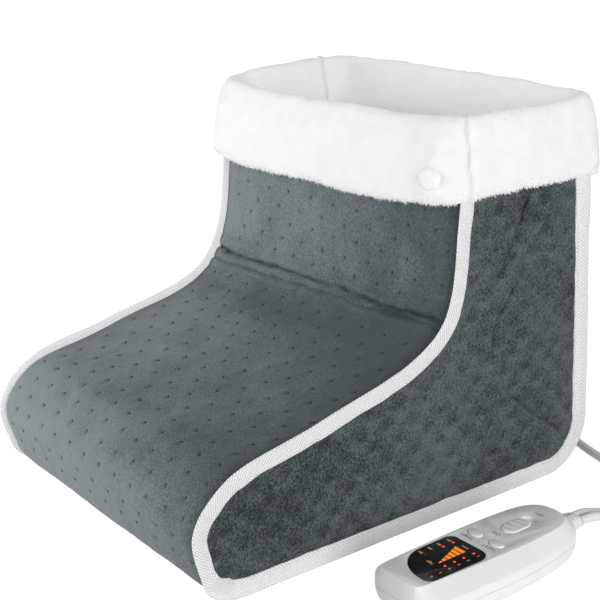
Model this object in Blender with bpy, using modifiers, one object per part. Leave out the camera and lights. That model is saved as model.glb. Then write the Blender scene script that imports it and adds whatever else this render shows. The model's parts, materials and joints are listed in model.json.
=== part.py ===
# Electric foot warmer: one big plush boot for both feet, with a hand controller beside it.
# The boot's toe points along -Y, its sides face +X and -X, and its sole lies on Z = 0.
# The origin is the middle of the sole. The controller lies on its back beside the +X side.
import math

import bmesh
import bpy
from mathutils import Matrix, Vector

MM = 0.001
GAP = 0.3 * MM

# Boot, overall
BOOT_WIDTH = 260.4 * MM
BOOT_TOE_Y = -160 * MM
BOOT_HEEL_Y = 162 * MM
SHELL_TOP_Z = 238 * MM
HEEL_RADIUS = 38 * MM

# Side outline of the boot, front edge only: (y, z) from the top of the leg down to the toe
LEG_TOP_FRONT = (44.2 * MM, SHELL_TOP_Z)
LEG_LOW_FRONT = (31.0 * MM, 148 * MM)
ANKLE_BEND = (9.0 * MM, 117.5 * MM)
INSTEP = (-69.0 * MM, 94.5 * MM)
TOE_TOP = (-137.0 * MM, 77.0 * MM)
TOE_FRONT = (BOOT_TOE_Y, 50.0 * MM)
TOE_CORNER_RADIUS = 20.0 * MM
TOE_BOTTOM_Y = -136.0 * MM
BACK_TOP_Y = 157.3 * MM
TOE_ARC_STEPS = 6
HEEL_ARC_STEPS = 10

# Layers of the boot, as depths below the binding's outer edge
BINDING_FRONT = 10.5 * MM
BINDING_SOLE = 12.6 * MM
BINDING_HEEL = 14.0 * MM
GUSSET_DEPTH = 5.3 * MM
GUSSET_THICK = 5.7 * MM
LINING_THICK = 5.7 * MM
LINING_DEPTH = GUSSET_DEPTH + GUSSET_THICK + GAP
SIDE_THICK = 7.0 * MM
SIDE_LINING_THICK = 6.6 * MM
SIDE_INNER_X = BOOT_WIDTH / 2 - SIDE_THICK
SIDE_LINING_INNER_X = SIDE_INNER_X - GAP - SIDE_LINING_THICK
LINING_HALF_X = SIDE_LINING_INNER_X - GAP

# Sole stack: bottom and top of each layer
SOLE_Z = (0.0, 5.0 * MM)
FOAM_Z = (5.3 * MM, 13.3 * MM)
CARRIER_Z = (13.6 * MM, 14.8 * MM)
WADDING_Z = (19.5 * MM, 25.9 * MM)
INSOLE_Z = (26.2 * MM, 33.2 * MM)
LINING_FOOT_Z = INSOLE_Z[1] + 0.4 * MM
FOAM_Y = (-131 * MM, 121 * MM)
CARRIER_Y = (-124 * MM, 112 * MM)
INSOLE_Y = (-141 * MM, 141 * MM)
CARRIER_HALF_X = 106 * MM

# Heating wire
WIRE_RADIUS = 1.2 * MM
WIRE_Z = 16.4 * MM
WIRE_RUNS = 9
WIRE_PITCH = 24 * MM
WIRE_FRONT_Y = -112 * MM
WIRE_HALF_X = 84 * MM

# Gland at the heel, where the low voltage cord comes out
GLAND_X = -75 * MM
GLAND_Z = 19 * MM
GLAND_TIP_Y = 182 * MM
FLANGE_IN_Y = 131.2 * MM
FLANGE_OUT_Y = 154.9 * MM

# Thermostat, where the inner lead starts
THERMOSTAT_Y = 99 * MM
THERMOSTAT_SIZE = (20 * MM, 9 * MM, 4 * MM)
INNER_LEAD_RADIUS = 1.5 * MM

# Stud on the cuff's front: its middle and how far it leans back
STUD_AT = (113 * MM, 28.5 * MM, 222 * MM)
STUD_HALF = (8.2 * MM, 7.4 * MM)
STUD_LEAN = 4.8

# Controller, in its own frame: +Y towards its head, +Z out of its face
CONTROLLER_AT = (200 * MM, -5 * MM, 0.0)
FACE_Z = 24.0 * MM
PARTING_Z = 10.85 * MM
WALL = 2.0 * MM
BOARD_Z = (11.5 * MM, 13.1 * MM)
BUTTON_X = 8.65 * MM
BUTTON_Y = -1.6 * MM
BUTTON_TRAVEL = 0.8 * MM
BUTTON_STEM_Z = 19.2 * MM
SLOT_Y = (-42.6 * MM, -15.6 * MM)
SLOT_WIDTH = 12.3 * MM
SLIDE_TRAVEL = 5.6 * MM
KNOB_LENGTH = 20.9 * MM
KNOB_WIDTH = 11.7 * MM
RELIEF_TIP_Y = -79.4 * MM
SCREW_SPOTS = ((19 * MM, 51 * MM), (-19 * MM, 51 * MM), (18 * MM, -38 * MM), (-18 * MM, -38 * MM))
POST_SPOTS = ((11.5 * MM, 58 * MM), (-11.5 * MM, 58 * MM), (11.5 * MM, -46 * MM), (-11.5 * MM, -46 * MM))
LED_LEFT_X = -8.0 * MM
LED_RIGHT_X = 9.1 * MM
LED_ROWS = (52.2, 45.4, 38.4, 31.1, 23.9, 16.1)

# Cords and plug
CORD_RADIUS = 2.9 * MM
CORD_SPACING = 6.8 * MM
COIL_AT = (165 * MM, 220 * MM)
COIL_MEAN_R = 32.3 * MM
COIL_LAYER = 5.05 * MM
PLUG_TIP_X = 140 * MM
PLUG_Y = 271.2 * MM
PLUG_Z = 8.2 * MM


def fresh_collections():
    """Empties the file and gives one collection for the parts and one for the cutters."""
    for old in list(bpy.data.objects):
        bpy.data.objects.remove(old, do_unlink=True)
    made = []
    for title in ("electric_foot_warmer", "cutters"):
        collection = bpy.data.collections.new(title)
        bpy.context.scene.collection.children.link(collection)
        made.append(collection)
    return made


PARTS, CUTTERS = fresh_collections()


def material(name, colour, roughness, metallic=0.0):
    """A Principled material, made once for each name."""
    found = bpy.data.materials.get(name)
    if found:
        return found
    made = bpy.data.materials.new(name)
    made.use_nodes = True
    shader = made.node_tree.nodes["Principled BSDF"]
    shader.inputs["Base Color"].default_value = (*colour, 1.0)
    shader.inputs["Roughness"].default_value = roughness
    shader.inputs["Metallic"].default_value = metallic
    return made


def plush_dark():
    return material("side_plush", (0.050, 0.060, 0.063), 0.95)


def sole_cloth():
    return material("sole_cloth", (0.030, 0.033, 0.035), 0.9)


def plush_light():
    return material("gusset_plush", (0.115, 0.130, 0.135), 0.95)


def fleece():
    return material("fleece", (0.86, 0.86, 0.85), 0.95)


def tape_white():
    return material("binding_tape", (0.80, 0.81, 0.81), 0.85)


def plastic_white():
    return material("white_plastic", (0.72, 0.72, 0.72), 0.35)


def plastic_black():
    return material("window_black", (0.004, 0.004, 0.005), 0.12)


def cord_white():
    return material("cord_white", (0.78, 0.78, 0.77), 0.45)


def foam_grey():
    return material("foam", (0.35, 0.35, 0.36), 0.9)


def felt_cream():
    return material("heater_carrier", (0.62, 0.58, 0.50), 0.95)


def wire_red():
    return material("wire_insulation", (0.55, 0.05, 0.03), 0.5)


def board_green():
    return material("circuit_board", (0.03, 0.16, 0.06), 0.5)


def metal():
    return material("plated_metal", (0.62, 0.62, 0.60), 0.3, 1.0)


def brass():
    return material("plug_blade", (0.72, 0.66, 0.50), 0.3, 1.0)


def led_red():
    return material("led", (0.55, 0.02, 0.02), 0.3)


def bakelite():
    return material("component_black", (0.02, 0.02, 0.02), 0.5)


def finish(obj, look, home=None):
    """Gives an object its material and its collection."""
    (home or PARTS).objects.link(obj)
    obj.data.materials.append(look)
    return obj


def smooth(points, steps):
    """Points along a centripetal Catmull-Rom curve through the given ones, in 2D or 3D."""
    pts = [Vector(p) for p in points]
    pts = [2 * pts[0] - pts[1], *pts, 2 * pts[-1] - pts[-2]]
    out = []
    for p0, p1, p2, p3 in zip(pts, pts[1:], pts[2:], pts[3:]):
        t1 = (p1 - p0).length ** 0.5
        t2 = t1 + (p2 - p1).length ** 0.5
        t3 = t2 + (p3 - p2).length ** 0.5
        for step in range(steps):
            t = t1 + (t2 - t1) * step / steps
            a1 = p0.lerp(p1, t / t1)
            a2 = p1.lerp(p2, (t - t1) / (t2 - t1))
            a3 = p2.lerp(p3, (t - t2) / (t3 - t2))
            b1 = a1.lerp(a2, t / t2)
            b2 = a2.lerp(a3, (t - t1) / (t3 - t1))
            out.append(b1.lerp(b2, (t - t1) / (t2 - t1)))
    return [*out, pts[-2]]


def arc(centre, radius, start, stop, steps):
    """Points on a circle in 2D, angles in degrees."""
    made = []
    for step in range(steps + 1):
        angle = math.radians(start + (stop - start) * step / steps)
        made.append(Vector((centre[0] + radius * math.cos(angle), centre[1] + radius * math.sin(angle))))
    return made


def offset_path(path, distance, closed=False):
    """Moves a 2D path to its left by a distance, or by a list of them. Open ends keep their height."""
    count = len(path)
    distances = distance if isinstance(distance, list) else [distance] * count
    made = []
    for i, (point, distance) in enumerate(zip(path, distances)):
        first = i == 0 and not closed
        last = i == count - 1 and not closed
        before = None if first else (point - path[i - 1]).normalized()
        after = None if last else (path[(i + 1) % count] - point).normalized()
        sides = [Vector((-d.y, d.x)) for d in (before, after) if d is not None]
        if first or last:
            made.append(point + Vector((distance / sides[0].x, 0)))
            continue
        mitre = (sides[0] + sides[1]).normalized()
        made.append(point + mitre * (distance / mitre.dot(sides[0])))
    return made


def front_edge():
    """The boot's outline from the top of the leg to the bottom of the toe."""
    corner = arc((TOE_BOTTOM_Y, TOE_CORNER_RADIUS), TOE_CORNER_RADIUS, 192, 270, TOE_ARC_STEPS)
    route = (LEG_TOP_FRONT, LEG_LOW_FRONT, ANKLE_BEND, INSTEP, TOE_TOP, TOE_FRONT, corner[0])
    return [*smooth(route, 7), *corner[1:]]


def back_edge():
    """The boot's outline from the start of the heel's curve up the back."""
    heel = arc((BOOT_HEEL_Y - HEEL_RADIUS, HEEL_RADIUS), HEEL_RADIUS, -90, 0, HEEL_ARC_STEPS)
    return [*heel, Vector((BACK_TOP_Y, SHELL_TOP_Z))]


OUTLINE = [*front_edge(), *back_edge()]
FRONT_COUNT = len(front_edge())


def inner_outline(depth):
    return offset_path(OUTLINE, depth)


def tape_edge(gap=0.0):
    """The binding's inner edge: narrow up the front, wider along the sole and widest up the heel."""
    toe_arc = TOE_ARC_STEPS + 1
    heel_arc = HEEL_ARC_STEPS + 1
    widths = [BINDING_FRONT] * (FRONT_COUNT - toe_arc)
    for step in range(toe_arc):
        widths.append(BINDING_FRONT + (BINDING_SOLE - BINDING_FRONT) * step / (toe_arc - 1))
    for step in range(heel_arc):
        widths.append(BINDING_SOLE + (BINDING_HEEL - BINDING_SOLE) * step / (heel_arc - 1))
    widths.append(BINDING_HEEL)
    return offset_path(OUTLINE, [width + gap for width in widths])


def strip(outer_depth, thick, part):
    """The closed section of a layer that follows the front or the back of the outline."""
    outer = part(inner_outline(outer_depth))
    inner = part(inner_outline(outer_depth + thick))
    return [*outer, *reversed(inner)]


def front_part(path):
    return path[:FRONT_COUNT]


def back_part(path):
    return path[FRONT_COUNT:]


def above(path, level):
    """The part of a 2D path that lies above a level, cut where it crosses it."""
    made = []
    for a, b in zip(path, path[1:]):
        if a.y >= level:
            made.append(a)
        if (a.y >= level) != (b.y >= level):
            made.append(a.lerp(b, (level - a.y) / (b.y - a.y)))
    if path[-1].y >= level:
        made.append(path[-1])
    return made


def flat(name, points, thickness, look, holes=(), home=None):
    """A flat outline with square edges, made from a filled 2D curve."""
    curve = bpy.data.curves.new(name, "CURVE")
    curve.dimensions = "2D"
    curve.fill_mode = "BOTH"
    curve.extrude = thickness / 2
    for loop in (points, *holes):
        spline = curve.splines.new("POLY")
        spline.points.add(len(loop) - 1)
        for target, p in zip(spline.points, loop):
            target.co = (p[0], p[1], 0.0, 1.0)
        spline.use_cyclic_u = True
    return finish(bpy.data.objects.new(name, curve), look, home)


def across(name, points, x_low, x_high, look):
    """A flat outline in the Y and Z plane that reaches from one X to another."""
    obj = flat(name, points, x_high - x_low, look)
    obj.rotation_euler = (math.pi / 2, 0, math.pi / 2)
    obj.location = ((x_low + x_high) / 2, 0, 0)
    return obj


def slab(name, half_x, y_span, z_span, radius, look):
    """A plate in the sole, with rounded corners."""
    loop = rounded_rectangle(half_x, y_span[0], y_span[1], radius, 4)
    obj = flat(name, loop, z_span[1] - z_span[0], look)
    obj.location = (0, 0, (z_span[0] + z_span[1]) / 2)
    return obj


def rounded_rectangle(half_x, y_low, y_high, radius, corner_steps):
    """A counter-clockwise loop that starts on the +X, -Y corner's middle."""
    made = []
    corners = (
        ((half_x - radius, y_low + radius), -45, 0),
        ((half_x - radius, y_high - radius), 0, 90),
        ((radius - half_x, y_high - radius), 90, 180),
        ((radius - half_x, y_low + radius), 180, 270),
        ((half_x - radius, y_low + radius), -90, -45),
    )
    for centre, start, stop in corners:
        steps = corner_steps if stop - start > 50 else corner_steps // 2
        made += arc(centre, radius, start, stop, steps)
    return made[:-1]


def tube(name, points, radius, look, resolution=2):
    """A cord or wire along the points, with filled ends."""
    curve = bpy.data.curves.new(name, "CURVE")
    curve.dimensions = "3D"
    curve.bevel_depth = radius
    curve.bevel_resolution = resolution
    curve.use_fill_caps = True
    spline = curve.splines.new("POLY")
    spline.points.add(len(points) - 1)
    for target, p in zip(spline.points, points):
        target.co = (*p, 1.0)
    return finish(bpy.data.objects.new(name, curve), look)


def even(points, spacing):
    """The same path with a point about every spacing, read from a smooth curve through the given points."""
    fine = smooth(points, 24)
    lengths = [0.0]
    for a, b in zip(fine, fine[1:]):
        lengths.append(lengths[-1] + (b - a).length)
    count = max(2, round(lengths[-1] / spacing))
    made = []
    i = 0
    for step in range(count + 1):
        want = lengths[-1] * step / count
        while i < len(fine) - 2 and lengths[i + 1] < want:
            i += 1
        span = lengths[i + 1] - lengths[i]
        made.append(fine[i].lerp(fine[i + 1], (want - lengths[i]) / span))
    return made


def from_bmesh(name, bm, look, home=None):
    """Makes an object from a bmesh, with its faces pointing out."""
    bmesh.ops.recalc_face_normals(bm, faces=bm.faces)
    mesh = bpy.data.meshes.new(name)
    bm.to_mesh(mesh)
    bm.free()
    obj = finish(bpy.data.objects.new(name, mesh), look, home)
    mesh.shade_smooth()
    mesh.set_sharp_from_angle(angle=math.radians(35))
    return obj


def loft(name, rings, look, home=None, round_trip=False):
    """Joins rings of equal count with quads. The ends are closed, or joined to each other."""
    bm = bmesh.new()
    rows = [[bm.verts.new(p) for p in ring] for ring in rings]
    pairs = list(zip(rows, rows[1:]))
    if round_trip:
        pairs.append((rows[-1], rows[0]))
    for low, high in pairs:
        for i in range(len(low)):
            j = (i + 1) % len(low)
            bm.faces.new((low[i], low[j], high[j], high[i]))
    if not round_trip:
        bm.faces.new(list(reversed(rows[0])))
        bm.faces.new(rows[-1])
    return from_bmesh(name, bm, look, home)


def at_height(loop, z):
    return [Vector((p[0], p[1], z)) for p in loop]


def ellipse(half_x, half_y, z, centre=(0.0, 0.0), count=24):
    made = []
    for i in range(count):
        angle = 2 * math.pi * i / count
        made.append(Vector((centre[0] + half_x * math.cos(angle), centre[1] + half_y * math.sin(angle), z)))
    return made


def stadium(half_x, half_y, count=8):
    """A loop with round ends on the longer axis, about the origin."""
    radius = min(half_x, half_y)
    run_x = half_x - radius
    run_y = half_y - radius
    if run_y >= run_x:
        return [*arc((0, run_y), radius, 0, 180, count), *arc((0, -run_y), radius, 180, 360, count)]
    return [*arc((run_x, 0), radius, -90, 90, count), *arc((-run_x, 0), radius, 90, 270, count)]


def box(name, size, at, look, home=None):
    """A box by its size and its middle."""
    bm = bmesh.new()
    bmesh.ops.create_cube(bm, size=1.0, matrix=Matrix.LocRotScale(Vector(at), None, Vector(size)))
    return from_bmesh(name, bm, look, home)


def rod(name, radius, low, high, at, look, home=None, count=16):
    """An upright cylinder."""
    bm = bmesh.new()
    place = Matrix.Translation((at[0], at[1], (low + high) / 2))
    bmesh.ops.create_cone(
        bm, cap_ends=True, segments=count, radius1=radius, radius2=radius, depth=high - low, matrix=place
    )
    return from_bmesh(name, bm, look, home)


def turned(name, profile, look, steps=32):
    """A closed turned shape from an outer profile that runs from top to bottom."""
    bm = bmesh.new()
    verts = [bm.verts.new((r, 0.0, h)) for r, h in profile]
    for a, b in zip(verts, verts[1:]):
        bm.edges.new((a, b))
    mesh = bpy.data.meshes.new(name)
    bm.to_mesh(mesh)
    bm.free()
    obj = finish(bpy.data.objects.new(name, mesh), look)
    screw = obj.modifiers.new("turn", "SCREW")
    screw.axis = "Z"
    screw.steps = steps
    screw.render_steps = steps
    screw.use_merge_vertices = True
    screw.merge_threshold = 0.00001
    screw.use_smooth_shade = True
    return obj


def as_cutter(obj):
    obj.hide_render = True
    obj.display_type = "WIRE"
    return obj


def merged(name, objects):
    """Joins the meshes of separate, disjoint cutters into one cutter."""
    bm = bmesh.new()
    for obj in objects:
        bm.from_mesh(obj.data)
        bpy.data.objects.remove(obj, do_unlink=True)
    mesh = bpy.data.meshes.new(name)
    bm.to_mesh(mesh)
    bm.free()
    obj = bpy.data.objects.new(name, mesh)
    CUTTERS.objects.link(obj)
    return as_cutter(obj)


def columns(name, radius, low, high, spots, count=16):
    """Upright cylinders at several places, as one cutter."""
    rods = [rod("column", radius, low, high, at, plastic_white(), CUTTERS, count) for at in spots]
    return merged(name, rods)


def boolean(target, other, operation):
    modifier = target.modifiers.new(operation.lower(), "BOOLEAN")
    modifier.operation = operation
    modifier.solver = "EXACT"
    modifier.object = other
    as_cutter(other)
    return target


# Boot: outer pieces


def side_panel(name, sign):
    """A boot-shaped side of dark plush, inside its ring of binding tape."""
    edges = sorted((sign * SIDE_INNER_X, sign * BOOT_WIDTH / 2))
    return across(name, tape_edge(GAP), *edges, plush_dark())


def binding(name, sign):
    """The white tape that wraps the raised seam round a side panel, open under the cuff."""
    edges = sorted((sign * SIDE_INNER_X, sign * BOOT_WIDTH / 2))
    return across(name, [*OUTLINE, *reversed(tape_edge())], *edges, tape_white())


def gussets():
    half = SIDE_INNER_X - GAP
    across("front_gusset", strip(GUSSET_DEPTH, GUSSET_THICK, front_part), -half, half, plush_light())
    back = across("back_gusset", strip(GUSSET_DEPTH, GUSSET_THICK, back_part), -half, half, plush_light())
    return back


def sole_panel():
    """The flat underside, between the two bindings."""
    half = SIDE_INNER_X - GAP
    loop = rounded_rectangle(half, TOE_BOTTOM_Y, BOOT_HEEL_Y - HEEL_RADIUS, 2 * MM, 2)
    obj = flat("sole_panel", loop, SOLE_Z[1] - SOLE_Z[0], sole_cloth())
    obj.location.z = (SOLE_Z[0] + SOLE_Z[1]) / 2
    return obj


# Boot: lining and sole stack


def lining_strip(name, part):
    outer = above(part(inner_outline(LINING_DEPTH)), LINING_FOOT_Z)
    inner = above(part(inner_outline(LINING_DEPTH + LINING_THICK)), LINING_FOOT_Z)
    return across(name, [*outer, *reversed(inner)], -LINING_HALF_X, LINING_HALF_X, fleece())


def side_lining(name, sign):
    edges = sorted((sign * SIDE_LINING_INNER_X, sign * (SIDE_INNER_X - GAP)))
    return across(name, inner_outline(LINING_DEPTH), *edges, fleece())


def heating_wire():
    """One wire laid to and fro across the carrier, with round turns at the ends of its runs."""
    turn = WIRE_PITCH / 2
    points = []
    for run in range(WIRE_RUNS):
        y = WIRE_FRONT_Y + run * WIRE_PITCH
        side = 1 if run % 2 == 0 else -1
        points.append(Vector((-side * WIRE_HALF_X, y, WIRE_Z)))
        if run == WIRE_RUNS - 1:
            points.append(Vector((side * WIRE_HALF_X * 0.5, y, WIRE_Z)))
            break
        for p in arc((side * WIRE_HALF_X, y + turn), turn, -90, 90, 6):
            x = side * WIRE_HALF_X + side * abs(p[0] - side * WIRE_HALF_X)
            points.append(Vector((x, p[1], WIRE_Z)))
    points = [p for i, p in enumerate(points) if i == 0 or (p - points[i - 1]).length > 1 * MM]
    return tube("heating_wire", points, WIRE_RADIUS, wire_red(), 1)


def heater_parts():
    """The heater on its felt, with the thermostat and the thermal fuse in the wire's line."""
    slab("sole_foam", LINING_HALF_X, FOAM_Y, FOAM_Z, 12 * MM, foam_grey())
    slab("heater_carrier", CARRIER_HALF_X, CARRIER_Y, CARRIER_Z, 12 * MM, felt_cream())
    slab("comfort_wadding", LINING_HALF_X, FOAM_Y, WADDING_Z, 12 * MM, foam_grey())
    slab("insole_lining", LINING_HALF_X, INSOLE_Y, INSOLE_Z, 12 * MM, fleece())
    heating_wire()
    low = CARRIER_Z[1] + GAP
    middle = (GLAND_X, THERMOSTAT_Y, low + THERMOSTAT_SIZE[2] / 2)
    box("thermostat", THERMOSTAT_SIZE, middle, bakelite())
    fuse = rod("thermal_fuse", 1.9 * MM, -6 * MM, 6 * MM, (0, 0), metal())
    fuse.rotation_euler = (0, math.pi / 2, 0)
    fuse.location = (GLAND_X + 26 * MM, THERMOSTAT_Y, low + 1.9 * MM)
    lead_z = low + INNER_LEAD_RADIUS + 0.1 * MM
    route = (
        (GLAND_X, THERMOSTAT_Y + 5 * MM, lead_z),
        (GLAND_X, THERMOSTAT_Y + 13 * MM, lead_z),
        (GLAND_X, THERMOSTAT_Y + 20 * MM, lead_z + 0.3 * MM),
        (GLAND_X, FLANGE_IN_Y - 6.2 * MM, GLAND_Z - 0.1 * MM),
        (GLAND_X, FLANGE_IN_Y - GAP, GLAND_Z),
    )
    tube("inner_lead", even(route, 3 * MM), INNER_LEAD_RADIUS, cord_white(), 1)


def cord_gland(wall):
    """A moulded grommet in the heel: two flanges on the wall and a tapered, ribbed sleeve outside."""
    profile = [
        (0.0, GLAND_TIP_Y),
        (3.9 * MM, GLAND_TIP_Y),
        (4.3 * MM, GLAND_TIP_Y - 1 * MM),
    ]
    for rib in range(4):
        y = GLAND_TIP_Y - (4 + 4.6 * rib) * MM
        r = (4.4 + 0.35 * rib) * MM
        groove = r - 0.8 * MM
        profile += [(r, y + 0.9 * MM), (groove, y), (groove, y - 1.4 * MM), (r + 0.1 * MM, y - 2.2 * MM)]
    profile += [
        (5.9 * MM, FLANGE_OUT_Y + 1.6 * MM),
        (7.2 * MM, FLANGE_OUT_Y + 1.4 * MM),
        (7.2 * MM, FLANGE_OUT_Y),
        (4.4 * MM, FLANGE_OUT_Y),
        (4.4 * MM, FLANGE_IN_Y + 1.7 * MM),
        (6.2 * MM, FLANGE_IN_Y + 1.7 * MM),
        (6.2 * MM, FLANGE_IN_Y),
        (0.0, FLANGE_IN_Y),
    ]
    gland = turned("cord_gland", profile, cord_white(), 14)
    gland.rotation_euler = (-math.pi / 2, 0, 0)
    gland.location = (GLAND_X, 0, GLAND_Z)
    hole = rod("gland_hole", 4.8 * MM, -40 * MM, 40 * MM, (0, 0), cord_white(), CUTTERS, 16)
    hole.rotation_euler = (math.pi / 2, 0, 0)
    hole.location = (GLAND_X, 160 * MM, GLAND_Z)
    return boolean(as_mesh(wall), hole, "DIFFERENCE")


def as_mesh(obj):
    """Turns a curve object into a mesh object of the same name and place, with its caps welded."""
    depsgraph = bpy.context.evaluated_depsgraph_get()
    mesh = bpy.data.meshes.new_from_object(obj.evaluated_get(depsgraph))
    name = obj.name
    place = obj.matrix_world.copy()
    homes = list(obj.users_collection)
    bpy.data.objects.remove(obj, do_unlink=True)
    bm = bmesh.new()
    bm.from_mesh(mesh)
    bmesh.ops.remove_doubles(bm, verts=bm.verts, dist=0.00001)
    bm.to_mesh(mesh)
    bm.free()
    made = bpy.data.objects.new(name, mesh)
    made.matrix_world = place
    for home in homes:
        home.objects.link(made)
    return made


# Cuff


def cuff_section():
    """The folded band's section: half width, front y, back y, corner radius and height of each level."""
    levels = (
        (130.5, 38.4, 159.7, 1.5, 203.0),
        (137.8, 28.9, 168.2, 20, 203.6),
        (138.6, 28.2, 169.0, 21, 211.0),
        (138.2, 29.8, 168.6, 21, 230.0),
        (136.4, 32.8, 166.8, 20, 245.0),
        (133.2, 37.6, 163.4, 18, 255.6),
        (128.4, 43.4, 158.2, 15, 260.2),
        (123.6, 49.4, 153.0, 13, 257.0),
        (118.4, 57.0, 146.2, 11, 246.8),
        (112.8, 64.8, 136.8, 9, 236.6),
        (111.8, 66.0, 135.8, 8, 225.6),
        (115.7, 62.2, 139.6, 1.5, 225.0),
        (115.7, 62.2, 139.6, 1.5, 238.4),
        (130.5, 43.5, 158.0, 1.5, 238.4),
    )
    return [tuple(v * MM for v in level) for level in levels]


def cuff():
    """The fleece band that is folded over the rim, one closed loop, and the stud on its front."""
    loops = [at_height(rounded_rectangle(*level[:3], level[3], 6), level[4]) for level in cuff_section()]
    rings = [[loop[i] for loop in loops] for i in range(len(loops[0]))]
    loft("fleece_cuff", rings, fleece(), round_trip=True)
    ellipse_dome("cuff_stud")


def ellipse_dome(name):
    """An oval covered stud on the front of the cuff, near its seam."""
    rings = []
    for depth, share in ((0.0, 0.80), (0.7, 0.97), (1.6, 1.0), (2.6, 0.86), (3.3, 0.55), (3.5, 0.18)):
        rings.append(ellipse(STUD_HALF[0] * share, STUD_HALF[1] * share, depth * MM, count=20))
    stud = loft(name, rings, fleece())
    stud.rotation_euler = (math.pi / 2 - math.radians(STUD_LEAN), 0, 0)
    stud.location = STUD_AT
    return stud


# Controller: outlines of the moulded housing

# Pairs of points down the right side: the housing's edge and the edge of its raised face, as (y, half width)
HOUSING_SIDE = (
    ((68.5, 0.0), (67.6, 0.0)),
    ((68.5, 10.0), (67.6, 9.0)),
    ((67.7, 16.5), (67.0, 14.6)),
    ((64.6, 22.8), (64.0, 16.6)),
    ((58.6, 27.2), (57.0, 17.0)),
    ((45.0, 28.9), (45.0, 17.6)),
    ((25.0, 29.6), (25.0, 18.6)),
    ((5.0, 30.0), (5.0, 19.3)),
    ((-18.0, 28.7), (-17.0, 19.3)),
    ((-36.0, 26.2), (-35.0, 18.4)),
    ((-50.0, 23.0), (-46.5, 16.8)),
    ((-59.0, 18.6), (-53.4, 13.9)),
    ((-65.0, 12.8), (-57.8, 9.6)),
    ((-67.8, 7.0), (-59.5, 5.0)),
    ((-68.5, 0.0), (-60.0, 0.0)),
)


def housing_loop(column):
    """One closed outline of the housing, counter-clockwise seen from its face."""
    side = [(p[1] * MM, p[0] * MM) for p in (pair[column] for pair in HOUSING_SIDE)]
    half = smooth(side, 2)
    half[0].x = 0.0
    half[-1].x = 0.0
    mirrored = [Vector((-p.x, p.y)) for p in half[1:-1]]
    return [*reversed(half), *mirrored]


RIM = housing_loop(0)
FACE = housing_loop(1)


def housing_ring(inset, share, z):
    """A ring between the housing's rim and the edge of its face, moved inwards by an inset."""
    rim = offset_path(RIM, inset, closed=True)
    face = offset_path(FACE, inset, closed=True)
    return [Vector((*a.lerp(b, share), z)) for a, b in zip(rim, face)]


def front_shell():
    """The upper half of the housing: a raised face between two bevelled flanks, with real walls."""
    edge = PARTING_Z + GAP / 2
    outer = [(0.0, edge), (0.02, 14.2 * MM), (0.09, 16.4 * MM), (0.93, 23.3 * MM), (1.0, FACE_Z)]
    inner_top = FACE_Z - WALL
    inner = [(1.0, inner_top), (0.93, inner_top - 0.8 * MM), (0.09, 14.6 * MM), (0.0, edge)]
    rings = [housing_ring(WALL, share, z) for share, z in inner]
    rings += [housing_ring(0.0, share, z) for share, z in outer]
    shell = loft("controller_front_shell", rings, plastic_white())
    boolean(shell, columns("front_bosses", 3.4 * MM, 11.6 * MM, 18.3 * MM, SCREW_SPOTS), "UNION")
    pocket_wall = slot_prism("slot_wall", 2.2 * MM, 18.9 * MM, FACE_Z - 1.2 * MM)
    boolean(shell, pocket_wall, "UNION")
    boolean(shell, columns("screw_pilots", 1.5 * MM, 9 * MM, 16 * MM, SCREW_SPOTS, 12), "DIFFERENCE")
    window = offset_path(window_outline(), -GAP, closed=True)
    rings = [at_height(window, z) for z in (20 * MM, 26 * MM)]
    holes = [loft("window_hole", rings, plastic_white(), CUTTERS)]
    for x in (-BUTTON_X, BUTTON_X):
        oval = [ellipse(5.9 * MM, 4.0 * MM, z, (x, BUTTON_Y)) for z in (20 * MM, 26 * MM)]
        holes.append(loft("button_hole", oval, plastic_white(), CUTTERS))
    boolean(shell, merged("face_holes", holes), "DIFFERENCE")
    boolean(shell, slot_prism("slot_pocket", 0.0, 20.8 * MM, 26 * MM), "DIFFERENCE")
    stem_length = 8 * MM + SLIDE_TRAVEL + 0.8 * MM
    stem_y = knob_middle() - SLIDE_TRAVEL / 2
    stem = box("stem_slot", (3.8 * MM, stem_length, 6 * MM), (0, stem_y, 20 * MM), plastic_white(), CUTTERS)
    boolean(shell, stem, "DIFFERENCE")
    boolean(shell, relief_hole(), "DIFFERENCE")
    return shell


def slot_prism(name, grow, low, high):
    """An upright prism on the power switch's slot, grown by a margin."""
    half_y = (SLOT_Y[1] - SLOT_Y[0]) / 2
    middle = (SLOT_Y[0] + SLOT_Y[1]) / 2
    loop = stadium(SLOT_WIDTH / 2 + grow, half_y + grow)
    rings = [[Vector((p[0], p[1] + middle, z)) for p in loop] for z in (low, high)]
    return loft(name, rings, plastic_white(), CUTTERS)


def knob_middle():
    return SLOT_Y[1] - 0.2 * MM - KNOB_LENGTH / 2


def window_outline():
    """The black window: one big sweeping corner at the top right, small rounds elsewhere."""
    sweep_centre = (-9.0 * MM, 35.0 * MM)
    sweep = []
    for p in arc((0, 0), 1.0, 0, 90, 12):
        sweep.append(Vector((sweep_centre[0] + p[0] * 25.6 * MM, sweep_centre[1] + p[1] * 23.2 * MM)))
    made = arc((13.2 * MM, 14.0 * MM), 4.0 * MM, -90, 0, 5)
    made += sweep
    made += arc((-11.4 * MM, 53.0 * MM), 5.2 * MM, 90, 180, 5)
    made += arc((-7.6 * MM, 19.2 * MM), 9.2 * MM, 180, 270, 8)
    return made


def display_window():
    """A window plate with a wider ledge behind it that holds it under the face."""
    rings = [at_height(window_outline(), z) for z in (21.2 * MM, FACE_Z - 0.1 * MM)]
    window = loft("display_window", rings, plastic_black())
    size = (27 * MM, 54.6 * MM, 1.4 * MM)
    ledge = box("window_ledge", size, (0, 34.0 * MM, 20.9 * MM), plastic_black(), CUTTERS)
    boolean(window, ledge, "UNION")
    return window


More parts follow.
